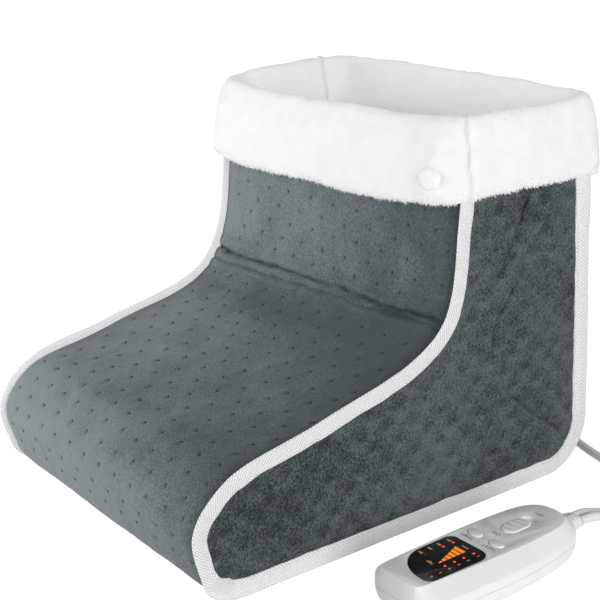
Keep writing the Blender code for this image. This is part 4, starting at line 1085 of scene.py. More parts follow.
# %% [markdown]
# Stitches, tufts of pile and grip dots repeat hundreds of times, so Geometry Nodes place them. A `Recipe`
# holds one node tree with named inputs. Its `made` method puts the tree on a carrier mesh, sets the inputs
# by their identifiers, keeps only the plain mesh that comes out, and throws the carrier away if it is told.

# %% Geometry Nodes helper


class Recipe:
    """A Geometry Nodes tree with named inputs, which turns a carrier mesh into a plain mesh."""

    KINDS = {float: "NodeSocketFloat", int: "NodeSocketInt", bpy.types.Material: "NodeSocketMaterial"}

    def __init__(self, name, **inputs):
        self.tree = bpy.data.node_groups.new(name, "GeometryNodeTree")
        face = self.tree.interface
        face.new_socket("Geometry", in_out="OUTPUT", socket_type="NodeSocketGeometry")
        face.new_socket("Geometry", in_out="INPUT", socket_type="NodeSocketGeometry")
        self.given = inputs
        self.ids = {}
        for key, value in inputs.items():
            face_socket = face.new_socket(key, in_out="INPUT", socket_type=self.KINDS[type(value)])
            self.ids[key] = face_socket.identifier
        self.start = self.tree.nodes.new("NodeGroupInput")
        self.end = self.tree.nodes.new("NodeGroupOutput")

    def node(self, kind, sockets, out=0, **settings):
        return add_node(self.tree, kind, sockets, out, **settings)

    def times(self, a, b):
        return self.node("ShaderNodeMath", {0: a, 1: b}, operation="MULTIPLY")

    def input(self, name="Geometry"):
        return self.start.outputs[name]

    def finish(self, points, shape, **sockets):
        """Puts the shape on every point, and ends the tree in one plain mesh with its material."""
        sockets = {"Points": points, "Instance": shape, **sockets}
        placed = self.node("GeometryNodeInstanceOnPoints", sockets)
        plain = self.node("GeometryNodeRealizeInstances", {0: placed})
        coloured = self.node("GeometryNodeSetMaterial", {"Geometry": plain, "Material": self.input("Finish")})
        self.tree.links.new(coloured, self.end.inputs[0])
        return self

    def made(self, name, carrier, throw_away=True):
        modifier = carrier.modifiers.new("recipe", "NODES")
        modifier.node_group = self.tree
        for key, value in self.given.items():
            modifier[self.ids[key]] = value
        done = carrier.evaluated_get(bpy.context.evaluated_depsgraph_get())
        mesh = bpy.data.meshes.new_from_object(done)
        mesh.name = name
        carrier.modifiers.remove(modifier)
        if throw_away:
            discard(carrier)
        mesh.shade_smooth()
        print(name, len(mesh.polygons), "faces")
        return linked(name, mesh)


def discard(piece):
    bpy.data.objects.remove(piece, do_unlink=True)


def wires(*paths):
    """A carrier of edges only, along one or more paths."""
    edges = []
    start = 0
    for path in paths:
        edges += [(start + i, start + i + 1) for i in range(len(path) - 1)]
        start += len(path)
    return linked("wires", raw_mesh("wires", np.vstack(paths), edges=edges))


print("Geometry Nodes helper ready")

# %% [markdown]
# A row of lock stitches holds the tape down, 1.6 mm from its inner edge. The thread dips into the cloth
# between stitches, so each stitch is a short rounded bead. The tree turns the wire into a curve, resamples
# it to one point for each stitch, and turns a bead to the curve's direction at every point. The same tree
# makes the dark tacks at the bottom of the pinches, one for each short wire.

# %% Tape stitches
STITCH_PITCH = 3.3 * MM
THREAD = 0.42 * MM
STITCH_TOP = 212 * MM


def thread_look():
    look = Look("sewing_thread", (0.80, 0.80, 0.79), 0.6)
    look.set(Base_Color=look.mix(look.waves(900.0, 2.0), (0.66, 0.66, 0.66), (0.86, 0.86, 0.85)))
    return look.material


def tack_look():
    look = Look("dark_thread", (0.012, 0.014, 0.015), 0.85)
    look.set(Base_Color=look.mix(look.noise(700, 2), (0.008, 0.010, 0.011), (0.022, 0.026, 0.028)))
    return look.material


def stitch_recipe(name, look, length, thread, pitch=STITCH_PITCH):
    """A bead at every pitch along each wire, or one bead at its middle where the pitch is 0."""
    recipe = Recipe(name, Pitch=pitch, Length=length, Thread=thread, Finish=look)
    curve = recipe.node("GeometryNodeMeshToCurve", {0: recipe.input()})
    spacing, mode = ({"Length": recipe.input("Pitch")}, "LENGTH") if pitch else ({"Count": 1}, "COUNT")
    points = recipe.node("GeometryNodeResampleCurve", {"Curve": curve, **spacing}, mode=mode)
    bead = recipe.node("GeometryNodeMeshUVSphere", {"Segments": 6, "Rings": 5, "Radius": 0.5})
    tangent = recipe.node("GeometryNodeInputTangent", {})
    turn = recipe.node("FunctionNodeAlignRotationToVector", {"Vector": tangent}, axis="X")
    sides = {0: recipe.input("Length"), 1: recipe.input("Thread"), 2: recipe.input("Thread")}
    return recipe.finish(points, bead, Rotation=turn, Scale=recipe.node("ShaderNodeCombineXYZ", sides))


def stitch_line(sign):
    line = even_path(side_line(sign), 2.0 * MM)
    spot = inset(line, tape_width(line) - 1.7 * MM)
    spot = spot[spot[:, 1] < STITCH_TOP]
    return np.insert(spot, 0, sign * 130.22 * MM, axis=1)


LOCK_STITCH = stitch_recipe("lock_stitch", thread_look(), 2.5 * MM, THREAD)
TACK = stitch_recipe("tack", tack_look(), 2.8 * MM, 1.1 * MM, 0.0)
for side, sign in (("right", 1), ("left", -1)):
    attach(LOCK_STITCH.made(f"tape_stitches_{side}", wires(stitch_line(sign))), "binding_tape")
attach(TACK.made("front_tacks", wires(*front_tacks)), "light_plush")

# %% [markdown]
# The cuff is white fleece, folded over the rim as a soft band. It is a loop of sections round the opening:
# each section runs up the outside, over the rim and down inside. The rim sags between the corners, the
# lower edge dips in the middle of each side, and the whole band is lumpy, because the fleece is thick. Two
# seams cross it: one where the band was joined, on the near side, and one inside. Both seams get painted
# shade in their grooves, and a ring of painted shadow lies round the stud. The cuff also has a faint
# painted glow that lightens it in shade, a little more inside near the rim and less deeper in. The linings
# have none, as a glow inside a closed white space would add up.

# %% Fleece cuff
# Each level is half the band's width, its front and back in Y, its corners' radius and its height.
CUFF_LEVELS = (
    (131.5, 37.4, 160.7, 2.5, 204.5), (137.0, 29.8, 167.4, 18, 203.6), (138.6, 28.2, 169.0, 21, 209.0),
    (138.6, 28.8, 168.9, 21, 220.0), (137.9, 30.2, 168.2, 21, 232.0), (136.4, 32.8, 166.6, 20, 244.0),
    (134.2, 36.2, 164.2, 18, 253.0), (131.4, 39.8, 161.2, 16, 258.6), (128.2, 43.6, 158.0, 15, 260.4),
    (125.0, 47.6, 154.8, 14, 258.8), (121.8, 52.2, 150.8, 13, 252.6), (117.8, 58.0, 146.0, 11, 244.6),
    (113.6, 63.6, 138.6, 10, 236.0), (112.2, 64.8, 137.0, 9, 226.0), (112.4, 63.6, 137.4, 9, 208.0),
    (112.6, 61.4, 138.0, 9, 194.0), (113.8, 60.4, 138.8, 7, 190.6), (115.4, 60.0, 139.8, 4, 192.4),
    (115.6, 61.6, 139.6, 3, 214.0), (115.8, 62.6, 139.4, 3, 233.0), (118.4, 58.6, 144.0, 3, 238.6),
    (130.2, 44.0, 157.8, 3, 238.8), (130.6, 41.6, 159.0, 3, 224.0), (130.6, 39.0, 160.0, 3, 210.0),
)
CUFF_HALF = 138.0
LONG_COUNT, SIDE_COUNT, CORNER_COUNT = 84, 44, 20
STUD_X, STUD_Z = 116.2, 221.4
STUD_WIDE, STUD_HIGH = 8.8, 6.9


def cuff_loop(half, front, back, radius):
    """One round trip of the band at a level, with the same number of points on every level."""
    x, low, high = half - radius, front + radius, back - radius
    centres = ((-x, low), (x, low), (x, high), (-x, high))
    corners = [arc(c, radius, turn, turn + 90, CORNER_COUNT) for c, turn in zip(centres, (180, 270, 0, 90))]
    made = []
    for number, count in enumerate((LONG_COUNT, SIDE_COUNT) * 2):
        after = corners[(number + 1) % 4]
        made += [np.linspace(corners[number][-1], after[0], count, endpoint=False), after[:-1]]
    return np.vstack(made)


def fleece_look(name, glow=None):
    look = Look(name, (0.75, 0.75, 0.745), 0.95, Sheen_Weight=0.35, Sheen_Roughness=0.55)
    # A painted glow that lightens the fleece in shade; inside the cuff an attribute makes it stronger near the
    # rim and weaker deeper in.
    if glow:
        level = look.math("MULTIPLY_ADD", look.attribute("inner"), 0.06, glow)
        look.set(Emission_Color=(1.0, 1.0, 0.995), Emission_Strength=level)
    clump = look.noise(130, 4, roughness=0.6)
    colour = look.mix(look.spread(clump, 0.3, 0.7), (0.718, 0.718, 0.713), (0.752, 0.752, 0.747))
    # Painted shade: darker grey in the seams' grooves and in a ring round the stud.
    look.set(Base_Color=look.mix(look.attribute("pinch"), colour, (0.40, 0.40, 0.395)))
    soft = look.bump(look.noise(900, 2), 0.5 * MM, 0.25)
    look.bump(clump, 1.2 * MM, 0.3, below=soft)
    return look.material


FLEECE = fleece_look("white_fleece", 0.18)
LINING_FLEECE = fleece_look("lining_fleece")


def hung(x, y, z):
    """The band's lift, its share of the way from the lower edge to the rim, and how far it faces front.

    The lift is how far the soft fleece lies above or below its level. All lengths are in millimetres."""
    front_face = np.clip((70 - y) / 40, 0, 1)
    near_x = np.abs(x) / CUFF_HALF
    low = (8.0 * near_x ** 4 - 2.6) * front_face + 6.5 * (1 - front_face) * near_x ** 6
    low += 1.6 * bell(x, 118, 22) * front_face
    near_wall = np.clip(x / CUFF_HALF, 0, 1)
    top = -8.6 * front_face * (1 - near_x ** 4) - 3.4 * np.clip(1 - np.abs(y - 98) / 60, 0, 1) * near_wall ** 4
    top += np.clip((y - 45) / 105, 0, 1) * np.interp(x, (-138, -95, -40, 60, 138), (4.6, 6.2, 5.6, 2.8, -0.8))
    top += 2.0 * np.clip(-x / CUFF_HALF, 0, 1) ** 6
    share = np.clip((z - 204) / 50, 0, 1)
    return low * (1 - share) ** 2 + top * share ** 2, share, front_face


def cuff():
    closed = np.vstack([CUFF_LEVELS, CUFF_LEVELS[:1]])
    section = even_path(smooth_path(closed, 14), 2.3)[:-1]
    loops = []
    for half, front, back, radius, z in section:
        loop = cuff_loop(half, front, back, max(radius, 1.5))
        loops.append(np.insert(loop, 2, z, axis=1))
    band = np.stack(loops, axis=1)
    rows, columns = band.shape[:2]
    x, y, z = np.moveaxis(band, 2, 0)
    outside = np.arange(columns) < np.argmax(section[:, 4])
    lift, share, front_face = hung(x, y, z)
    lifted = z + lift
    flat = np.stack([x, y, lifted], axis=2)
    lumps = clouds(flat * MM, (1.3, 30, 71), (0.7, 11, 72), (0.35, 5, 73))
    wavy = 113.4 + 0.035 * (260 - z) + 0.5 * np.sin(z / 3.7)
    joined = bell(0.595 * x + 0.803 * y, wavy, 1.0) * outside * (x > 100) * (y < 90)
    corner_y = 127 + 0.2 * (z - 235)
    far_inside = np.clip((-x - 104) / 5, 0, 1) * (1 - outside)
    corner_seam = bell(y, corner_y, 1.6) * far_inside
    near_side = np.clip((x - 118) / 8, 0, 1) * outside
    lumps += 1.3 * bell(y, corner_y - 9, 5) * far_inside
    lumps -= 1.1 * joined + 1.8 * corner_seam
    lumps -= 1.2 * bell(lifted, 233 + 1.5 * np.sin(y / 17), 3.0) * near_side * bell(y, 96, 52)
    lumps -= 1.2 * bell(np.hypot(x - 116, lifted - 221.5), 0, 15) * front_face * outside
    normal = np.cross(np.gradient(flat, axis=0), np.gradient(flat, axis=1))
    normal /= np.maximum(np.linalg.norm(normal, axis=2), 1e-9)[:, :, None]
    if ((flat - flat.mean(axis=(0, 1))) * normal)[:, 2, :2].sum() < 0:
        normal = -normal
    verts = (flat + normal * lumps[:, :, None]) * MM
    shown = outside | (section[:, 4] > 246)
    tuft = np.maximum(bell(z, 203, 3.2), 0.45 * bell(share, 1.07, 0.04)) * shown
    # A ring of painted shadow round the stud, and painted shade in the grooves of both seams.
    stud_shadow_ring = bell(np.hypot((x - STUD_X) / STUD_WIDE, (z - STUD_Z) / STUD_HIGH), 1.06, 0.10) * front_face * outside
    pinch = 0.6 * joined + 0.5 * corner_seam + 0.32 * stud_shadow_ring
    # More painted glow inside the cuff near the rim, and less deeper in.
    inner = (1.0 - outside) * np.interp(z, (192, 214, 240), (-2.2, 0.2, 1.0))
    faces = ring_faces(rows, columns, closed_rows=True)
    drawn = {"tuft": tuft, "pinch": pinch, "inner": inner}
    return made_mesh("fleece_cuff_band", verts.reshape(-1, 3), faces, FLEECE, **drawn)


cuff_band = cuff()
print("cuff", len(cuff_band.data.vertices), "vertices")

# %% [markdown]
# Fleece never has a clean outline: short fibres stand out from it, most of all on the folded edges. Each
# tuft here is a thin bent blade with three sides, with a faint painted glow that lightens the shade among
# the tufts. The tree scatters them over the band, more where the `tuft` attribute is high, and leans each
# one away from the surface by a random angle with a fixed seed.

# %% Fleece pile


def blade_mesh():
    """A tuft of fibres, 1 long: a three-sided blade in three steps that bends over and ends in a point."""
    verts = []
    for height, width, lean in ((0.0, 0.11, 0.0), (0.4, 0.09, 0.12), (0.7, 0.06, 0.42)):
        for angle in np.radians((0, 120, 240)):
            verts.append((lean + width * math.cos(angle), width * math.sin(angle), height))
    verts.append((0.80, 0, 0.78))
    faces = [(2, 1, 0)]
    for low in (0, 3):
        faces += [(low + i, low + (i + 1) % 3, low + 3 + (i + 1) % 3, low + 3 + i) for i in range(3)]
    faces += [(6, 7, 9), (7, 8, 9), (8, 6, 9)]
    return linked("tuft_blade", raw_mesh("tuft_blade", verts, faces))


def pile_recipe(blade, density, length, look, seed):
    recipe = Recipe("pile", Density=density, Length=length, Seed=seed, Finish=look)
    seed = recipe.input("Seed")
    weight = recipe.node("GeometryNodeInputNamedAttribute", {"Name": "tuft"}, data_type="FLOAT")
    dense = recipe.times(weight, recipe.input("Density"))
    sockets = {"Mesh": recipe.input(), "Density": dense, "Seed": seed}
    points = recipe.node("GeometryNodeDistributePointsOnFaces", sockets, "Points")
    upright = points.node.outputs["Rotation"]
    angles = {0: (-0.95, -0.95, -3.14), 1: (0.95, 0.95, 3.14), "Seed": seed}
    twist = recipe.node("FunctionNodeRandomValue", angles, data_type="FLOAT_VECTOR")
    sockets = {"Rotation": upright, "Rotate By": twist}
    turned = recipe.node("FunctionNodeRotateRotation", sockets, rotation_space="LOCAL")
    vary = recipe.node("FunctionNodeRandomValue", {2: 0.55, 3: 1.35, "Seed": seed}, 1)
    size = recipe.times(vary, recipe.input("Length"))
    source = recipe.node("GeometryNodeObjectInfo", {"Object": blade}, "Geometry")
    return recipe.finish(points, source, Rotation=turned, Scale=size)


blade = blade_mesh()
# The tufts get a faint painted glow that lightens the shade among them.
fibre = Look("fleece_fibre", (0.93, 0.93, 0.925), 0.9, Emission_Strength=0.18)
fibre.set(Emission_Color=fibre.mix(fibre.noise(300, 2), (0.9, 0.9, 0.9), (1.0, 1.0, 1.0)))
PILE = pile_recipe(blade, 900000.0, 1.9 * MM, fibre.material, 8)
pile = PILE.made("fleece_pile", cuff_band, throw_away=False)
discard(blade)
attach(cuff_band, "fleece", "fleece_cuff")
attach(pile, "fleece")

# %% [markdown]
# A stud covered in the same fleece fastens the fold on the front of the cuff. It is a low oval dome that
# sits in a dimple of the band, turned from a profile and flattened, with a pulled-in edge.

# %% Cuff stud
STUD_AT = np.array((STUD_X, 28.7, STUD_Z)) * MM
# The profile is its share of the stud's half width, and how far it stands out, which is -Y.
STUD_PROFILE = (
    (0.72, 0.4), (0.93, -0.3), (1.0, -1.4), (0.985, -2.3), (0.90, -3.1), (0.72, -3.8), (0.46, -4.2),
    (0.18, -4.35),
)
STUD_SIDES = 40


def stud_cover():
    line = even_path(smooth_path(STUD_PROFILE, 6), 0.12)
    verts = []
    for share, out in line:
        for angle in np.linspace(0, 2 * math.pi, STUD_SIDES, endpoint=False):
            z = STUD_HIGH * share * math.sin(angle)
            verts.append((STUD_WIDE * share * math.cos(angle), out + 0.084 * z, z))
    verts = np.array(verts)
    verts += 0.16 * cloud(verts, 3.2, 90)[:, None] * np.array((0.5, -1, 0.5))
    faces = ring_faces(len(line), STUD_SIDES, caps=True)
    return made_mesh("stud_cover", verts * MM + STUD_AT, faces, FLEECE)


stud = attach(stud_cover(), "fleece", "cuff_stud")
print("stud cover")

# %% [markdown]
# The back gusset closes the heel and the back of the leg. It is made in the same way as the front one, with
# the quilting on a plain staggered lattice, because the photograph doesn't show it. The cloth is pressed
# flat round the gland, where the cord goes in.

# %% Back gusset
BACK_PITCH = (24.0, 12.0)
GLAND_DOWN = 26 * MM


def back_pinches(length):
    spots = []
    for number, down in enumerate(np.arange(14.0, length - 6, BACK_PITCH[1])):
        first = -120 + (number % 2) * BACK_PITCH[0] / 2
        spots += [(down, x) for x in np.arange(first, 121, BACK_PITCH[0])]
    return (np.array(spots) + np.random.default_rng(12).normal(0, 0.6, (len(spots), 2))) * MM


def back_gusset():
    line = even_path(inset(BACK_LINE, GUSSET_DEPTH), 1.0 * MM)
    spots = back_pinches(along(line)[-1] / MM)
    path, down, across, height = padded_strip(line, 1.9 * MM, spots, 3.0, 2.6 * MM)
    flat = np.stack([down, across], axis=2)
    gap = nearest(flat, spots)
    gland_gap = np.hypot(across - GLAND[0], down - GLAND_DOWN)
    rise = 1.6 + clouds(flat, (0.8, 50, 41), (0.25, 18, 42))
    rise -= 1.4 * np.exp(-(GUSSET_HALF - np.abs(across)) / (5 * MM))
    rise -= 1.1 * bell(gap, 0, 2.0 * MM) + 0.5 * bell(gap, 0, 4.5 * MM)
    rise -= 1.8 * bell(gland_gap, 0, 12 * MM)
    rise = rise * MM + height * (1 - bell(gland_gap, 0, 14 * MM))
    spots = spots[np.hypot(spots[:, 1] - GLAND[0], spots[:, 0] - GLAND_DOWN) > 12 * MM]
    # Darker at the pinches, partly parted pile and partly painted shade.
    pinch = 0.45 * bell(gap, 0, 1.8 * MM)
    return gusset_cloth("back_gusset_cloth", path, down, across, rise, pinch, 5.4 * MM, spots)


cloth, back_tacks = back_gusset()
heel = attach(cloth, "light_plush", "back_gusset")
attach(TACK.made("back_tacks", wires(*back_tacks)), "light_plush")
print("back gusset", len(heel.data.vertices), "vertices")

# %% [markdown]
# Under the boot is a plain dark cloth with rubber grip dots, so that it doesn't slide on a hard floor. The
# cloth is a filled outline, and Geometry Nodes put one flat-topped dot on each point of a staggered carrier.

# %% Sole cloth and grip dots
SOLE_HALF = 126.0 * MM
SOLE_AT = np.array((0.0, -5.9)) * MM
SOLE_THICK = 4.9 * MM
DOT_PITCH = 9.0 * MM
DOT_HEIGHT = 0.95 * MM


def sole_look():
    look = Look("sole_weave", (0.030, 0.033, 0.035), 0.9)
    weave = look.math("MULTIPLY", *(look.waves(260.0, 0.6, bands_direction=way) for way in "XY"))
    look.set(Base_Color=look.mix(weave, (0.016, 0.018, 0.019), (0.050, 0.055, 0.058)))
    look.bump(weave, 0.25 * MM)
    return look.material


def rubber_look():
    look = Look("grip_rubber", (0.035, 0.035, 0.037), 0.62)
    look.set(Base_Color=look.mix(look.noise(300, 3), (0.022, 0.022, 0.024), (0.055, 0.055, 0.058)))
    look.bump(look.noise(1500, 2), 0.04 * MM)
    return look.material


SOLE = sole_look()


def sole_cloth():
    loop = rounded_box(SOLE_HALF, 129.8 * MM, 3 * MM) + SOLE_AT
    loop = even_path(np.vstack([loop, loop[:1]]), 4 * MM)[:-1]
    flat, faces = filled(loop, 4.0 * MM)
    low = 0.7 * MM + 0.25 * MM * cloud(flat, 35 * MM, 82)
    verts, faces = boxed(np.column_stack([flat, low]), faces, np.insert(loop, 2, SOLE_THICK, axis=1))
    return made_mesh("sole_cloth", verts, faces, SOLE, sharp=60)


def dot_recipe():
    recipe = Recipe("grip_dot", Width=4.6 * MM, Height=DOT_HEIGHT, Finish=rubber_look())
    top, bottom = (recipe.times(recipe.input("Width"), share) for share in (0.36, 0.5))
    sockets = {"Vertices": 10, "Side Segments": 1, "Radius Top": top, "Radius Bottom": bottom}
    dot = recipe.node("GeometryNodeMeshCone", {**sockets, "Depth": recipe.input("Height")})
    return recipe.finish(recipe.input(), dot, Rotation=(math.pi, 0.0, 0.0))


def dot_carrier():
    spots = []
    for row, y in enumerate(np.arange(-129 * MM, 118 * MM, DOT_PITCH * 0.866)):
        for x in np.arange(-116 * MM + (row % 2) * DOT_PITCH / 2, 117 * MM, DOT_PITCH):
            spots.append((x, y, DOT_HEIGHT))
    return linked("dot_carrier", raw_mesh("dot_carrier", spots))


sole = attach(sole_cloth(), "sole_fabric", "sole_panel")
dots = attach(dot_recipe().made("grip_dots", dot_carrier()), "sole_fabric")
dots.data.set_sharp_from_angle(angle=math.radians(40))

# %% [markdown]
# The lining and the insole are fleece too. They are seen only through the leg opening, so they start from
# the CAD solids: a merged copy is remeshed with small voxels, which rounds its edges, then smoothed, made
# lumpy and moved out a little, so that neighbours meet in the corners.

# %% Lining
LINING_OUT = 1.3 * MM


def merged_copy(node):
    """A trial object from a CAD node, with its doubled points merged and its flat faces joined."""
    bm = bmesh.new()
    bm.from_mesh(frame["nodes"][node].data)
    bmesh.ops.remove_doubles(bm, verts=bm.verts, dist=1e-6)
    bmesh.ops.dissolve_limit(bm, angle_limit=math.radians(0.5), verts=bm.verts, edges=bm.edges)
    mesh = bpy.data.meshes.new("trial")
    bm.to_mesh(mesh)
    bm.free()
    return linked("trial", mesh)


def modify(piece, kind, **settings):
    set_all(piece.modifiers.new(kind.lower(), kind), **settings)


def plain(name, carrier, look):
    """Applies a carrier's modifiers, and gives the result as a new object."""
    mesh = bpy.data.meshes.new_from_object(carrier.evaluated_get(bpy.context.evaluated_depsgraph_get()))
    discard(carrier)
    mesh.name = name
    mesh.materials.clear()
    mesh.materials.append(look)
    mesh.shade_smooth()
    return linked(name, mesh)


def softened(name, node, look, voxel, lumpy, seed):
    carrier = merged_copy(node)
    modify(carrier, "REMESH", mode="VOXEL", voxel_size=voxel)
    modify(carrier, "SMOOTH", factor=0.6, iterations=6)
    piece = plain(name, carrier, look)
    points = piece.data.vertices
    spots, turned = np.zeros(len(points) * 3), np.zeros(len(points) * 3)
    points.foreach_get("co", spots)
    points.foreach_get("normal", turned)
    spots = spots.reshape(-1, 3)
    lumps = lumpy * clouds(spots, (1.0, 24, seed), (0.5, 9, seed + 1)) + LINING_OUT
    spots += turned.reshape(-1, 3) * lumps[:, None]
    spots[:, 2] = np.minimum(spots[:, 2], TRIM_Z)
    points.foreach_set("co", spots.ravel())
    piece.data.update()
    return piece


for number, node in enumerate(
        ("side_lining_left", "side_lining_right", "front_lining", "back_lining", "insole_lining")):
    lining = softened(f"{node}_fleece", node, LINING_FLEECE, 3.2 * MM, 0.7 * MM, 100 + number)
    attach(lining, "fleece", node)
    print(lining.name, len(lining.data.vertices), "vertices")

# %% [markdown]
# The hard parts are moulded or stamped. Each finish has the small marks of how it is made: moulded ABS has
# a fine satin grain, the printed window is glossy with faint smears, plated steel is brushed, and the board
# is green lacquer over copper. Nodes that stay hidden in the boot and the controller get finishes too.

# %% Hard finishes


def abs_look(name, colour, roughness):
    look = Look(name, colour, roughness, Specular_IOR_Level=0.5)
    look.set(Base_Color=look.mix(look.noise(55, 3), tint(colour, 0.95), tint(colour, 1.04)))
    look.set(Roughness=look.spread(look.noise(260, 3), 0.3, 0.7, roughness - 0.05, roughness + 0.07))
    look.bump(look.noise(2600, 2), 0.035 * MM, 0.8)
    return look.material


def grained(name, dark, light, scale, roughness, height, stretch=(1, 1, 1), metallic=0.0):
    """A finish with one grain of its own scale, which shifts its colour, its gloss and its height."""
    look = Look(name, light, roughness, Metallic=metallic)
    where = look.node("Mapping", {"Vector": look.coords(), "Scale": stretch})
    grain = look.noise(scale, 4, where, 0.65)
    look.set(Base_Color=look.mix(look.spread(grain, 0.3, 0.7), dark, light))
    look.set(Roughness=look.spread(grain, 0.3, 0.7, roughness * 0.8, min(1.0, roughness * 1.15)))
    look.bump(grain, height * MM)
    return look.material


FINISHES = {
    "dark_plush": PLUSH_DARK, "light_plush": PLUSH_LIGHT, "binding_tape": TAPE, "sole_fabric": SOLE,
    "fleece": FLEECE, "cord": PVC, "relief_rubber": PVC,
    "white_plastic": abs_look("housing_abs", (0.84, 0.84, 0.845), 0.36),
    "button_plastic": abs_look("button_abs", (0.87, 0.87, 0.875), 0.33),
    "window_black": grained("window_print", (0.0035, 0.0035, 0.004), (0.007, 0.007, 0.008), 40, 0.16, 0.004),
    "foam": grained("open_cell_foam", (0.22, 0.22, 0.23), (0.42, 0.42, 0.43), 900, 0.95, 0.5),
    "felt": grained("needled_felt", (0.50, 0.46, 0.39), (0.68, 0.64, 0.56), 500, 0.95, 0.3, (1, 3, 1)),
    "wire_insulation": grained("silicone_sleeve", (0.38, 0.03, 0.02), (0.60, 0.06, 0.04), 300, 0.5, 0.05),
    "component_black": grained("component_case", (0.014, 0.014, 0.015), (0.03, 0.03, 0.031), 1400, 0.6, 0.05),
    "plated_metal": grained(
        "plated_steel", (0.50, 0.50, 0.49), (0.70, 0.70, 0.69), 700, 0.32, 0.02, (1, 8, 1), metallic=1.0),
    "guide_plastic": grained("guide_moulding", (0.62, 0.62, 0.62), (0.74, 0.74, 0.74), 900, 0.5, 0.03),
    "board": grained("board_lacquer", (0.015, 0.10, 0.035), (0.04, 0.20, 0.08), 420, 0.35, 0.03),
    "led": grained("lamp_lens", (0.40, 0.012, 0.012), (0.62, 0.03, 0.03), 600, 0.15, 0.01),
    "plug_brass": grained(
        "nickel_brass", (0.60, 0.55, 0.42), (0.78, 0.72, 0.56), 800, 0.28, 0.02, (8, 1, 1), metallic=1.0),
}
for subpart in frame["record"]["subparts"]:
    node = frame["nodes"][subpart["node"]]
    node.data.materials.clear()
    node.data.materials.append(FINISHES[subpart["material_slot"]])
print(len(FINISHES), "finishes on", len(frame["nodes"]), "nodes")

# %% [markdown]
# A moulded edge is never sharp. The CAD solids of the controller, its buttons, the strain reliefs and the
# plug have the right shape, so each one is copied, its points are merged, and a narrow bevel rounds every
# real edge. The copy then stands for its node and rides on the same body.

# %% Moulded parts
SLOTS = {subpart["node"]: subpart["material_slot"] for subpart in frame["record"]["subparts"]}
MOVING = ("heat_button", "timer_button", "power_slider")
MOULDED = {
    "housing_front": ("controller_front_shell", 0.30), "housing_back": ("controller_back_shell", 0.30),
    "window_plate": ("display_window", 0.15), "heat_button_cap": ("heat_button", 0.15),
    "timer_button_cap": ("timer_button", 0.15), "slide_knob": ("power_slider", 0.18),
    "controller_relief": ("strain_relief", 0.25), "heel_grommet": ("cord_gland", 0.25),
    "plug_moulding": ("plug_body", 0.3),
}

for name, (node, width) in MOULDED.items():
    carrier = merged_copy(node)
    modify(
        carrier, "BEVEL", width=width * MM, segments=2, limit_method="ANGLE", angle_limit=math.radians(30),
        use_clamp_overlap=True,
    )
    piece = plain(name, carrier, FINISHES[SLOTS[node]])
    piece.data.set_sharp_from_angle(angle=math.radians(38))
    attach(piece, SLOTS[node], node, body=node if node in MOVING else ROOT)
print(len(MOULDED), "moulded parts")

# %% [markdown]
# The controller's marks are printed: plain function words beside the buttons and the switch, and a scale in
# the window. Heat steps 1 to 6 stand on the left, hours on the right, and a stepped wedge between them
# grows from Low to High. The words are text turned into a thin mesh, and the wedge and lamp dots are plates.

# %% Printed marks
FACE_Z = 24.0 * MM
GLASS_Z = FACE_Z - 0.12 * MM
LAMP_ROWS = (52.2, 45.4, 38.4, 31.1, 23.9, 16.1)
HEAT_X, TIMER_X = -8.0, 9.1
BAR_LEFT, BAR_TOP, BAR_STEP, BAR_HEIGHT = -3.6, 38.9, 3.58, 2.75


def on_controller(x, y, z):
    """A place in the controller's own frame, in metres, moved into the frame of the whole object."""
    return (CONTROLLER_AT[0] - x, CONTROLLER_AT[1] - y, z)


def ink(name, colour, glow=0.0):
    look = Look(name, colour, 0.55)
    look.set(Base_Color=look.mix(look.noise(500, 2), tint(colour, 0.85), colour))
    if glow:
        look.set(Emission_Color=colour, Emission_Strength=glow)
    return look.material


def plate(loop, low, high):
    """A thin prism on the controller from a counter-clockwise loop in its frame, in millimetres."""
    count = len(loop)
    verts = [on_controller(x * MM, y * MM, level) for level in (low, high) for x, y in loop]
    faces = [tuple(reversed(range(count))), tuple(range(count, 2 * count))]
    faces += [(i, (i + 1) % count, count + (i + 1) % count, count + i) for i in range(count)]
    return verts, faces


def word(text, x, y, size, low):
    """A word as a thin solid on the controller, centred on a place in its frame, in millimetres."""
    curve = bpy.data.curves.new("word", "FONT")
    set_all(
        curve, body=text, size=size * MM, align_x="CENTER", align_y="CENTER", extrude=0.02 * MM, resolution_u=3)
    trial = linked("word", curve)
    mesh = bpy.data.meshes.new_from_object(trial.evaluated_get(bpy.context.evaluated_depsgraph_get()))
    discard(trial)
    verts = [on_controller(x * MM + v.co.x, y * MM + v.co.y, low + v.co.z) for v in mesh.vertices]
    return verts, [tuple(face.vertices) for face in mesh.polygons]


def lamp_dots(radius, thickness, *groups):
    """A round plate at each lamp's place."""
    turn = np.linspace(0, 2 * math.pi, 16, endpoint=False)
    circle = [(radius * math.cos(a), radius * math.sin(a)) for a in turn]
    places = [(x, y) for x, ys in groups for y in ys]
    return [plate([(x + dx, y + dy) for dx, dy in circle], GLASS_Z, GLASS_Z + thickness) for x, y in places]


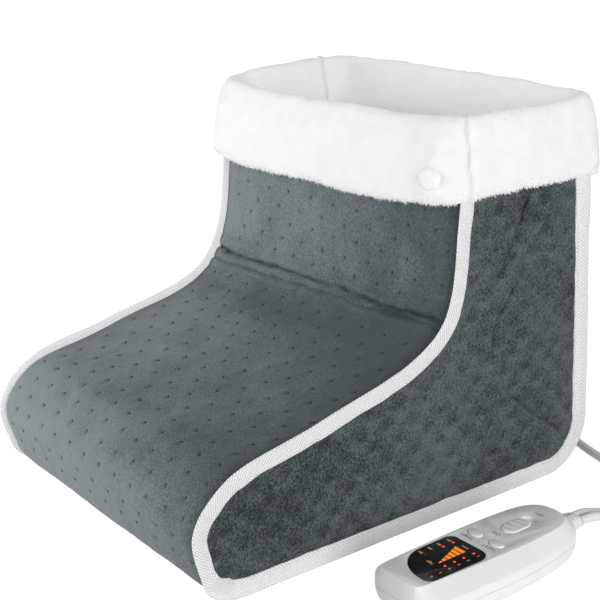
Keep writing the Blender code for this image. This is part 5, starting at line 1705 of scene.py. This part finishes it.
def wedge():
    bars = []
    for step in range(6):
        top = BAR_TOP - BAR_STEP * step
        right = [BAR_LEFT + 0.5 + 8.3 * (BAR_TOP - y) / 21.3 for y in (top, top - BAR_HEIGHT)]
        loop = [(BAR_LEFT, top - BAR_HEIGHT), (right[1], top - BAR_HEIGHT), (right[0], top), (BAR_LEFT, top)]
        bars.append(plate(loop, GLASS_Z, GLASS_Z + 0.05 * MM))
    return bars


def marks(name, look, slot, solids):
    """One piece from many small solids, each given as its points and its faces."""
    verts, faces = [], []
    for some_verts, some_faces in solids:
        faces += [tuple(i + len(verts) for i in face) for face in some_faces]
        verts += some_verts
    mesh = raw_mesh(name, verts, faces)
    outward_faces(mesh, weld=1e-7)
    mesh.materials.append(look)
    attach(linked(name, mesh), slot)


FUNCTION_WORDS = (("HEAT", -8.3, 4.7), ("TIMER", 9.1, 4.7), ("ON", 0.8, -10.9), ("OFF", 1.4, -48.1))
SCALE_WORDS = [
    *((str(6 - i), -11.9, y, 2.9) for i, y in enumerate(LAMP_ROWS)),
    *((f"{hours}H", 12.6, y, 2.7) for hours, y in zip((8, 6, 4, 2), LAMP_ROWS[2:])),
    ("High", 0.6, 42.2, 2.7), ("Low", 0.6, 15.0, 2.7),
]
marks(
    "function_words", ink("dark_print", (0.10, 0.10, 0.105)), "component_black",
    [word(*spec, 3.9, FACE_Z + 0.01 * MM) for spec in FUNCTION_WORDS],
)
# The orange print and the amber bars get a painted glow; only the lit lamps are real lights.
marks(
    "scale_words", ink("orange_print", (0.95, 0.42, 0.16), 0.25), "window_black",
    [word(*spec, GLASS_Z + 0.03 * MM) for spec in SCALE_WORDS],
)
marks("heat_wedge", ink("amber_bars", (1.0, 0.27, 0.012), 0.45), "window_black", wedge())
marks(
    "lit_lamps", ink("lit_red", (1.0, 0.06, 0.03), 1.0), "led",
    lamp_dots(0.85, 0.06 * MM, (HEAT_X, LAMP_ROWS[2:]), (TIMER_X, LAMP_ROWS[4:])),
)
marks(
    "unlit_lamps", ink("unlit_red", (0.16, 0.02, 0.015)), "led",
    lamp_dots(0.75, 0.05 * MM, (HEAT_X, LAMP_ROWS[:2]), (TIMER_X, LAMP_ROWS[2:4])),
)
print("printed marks")
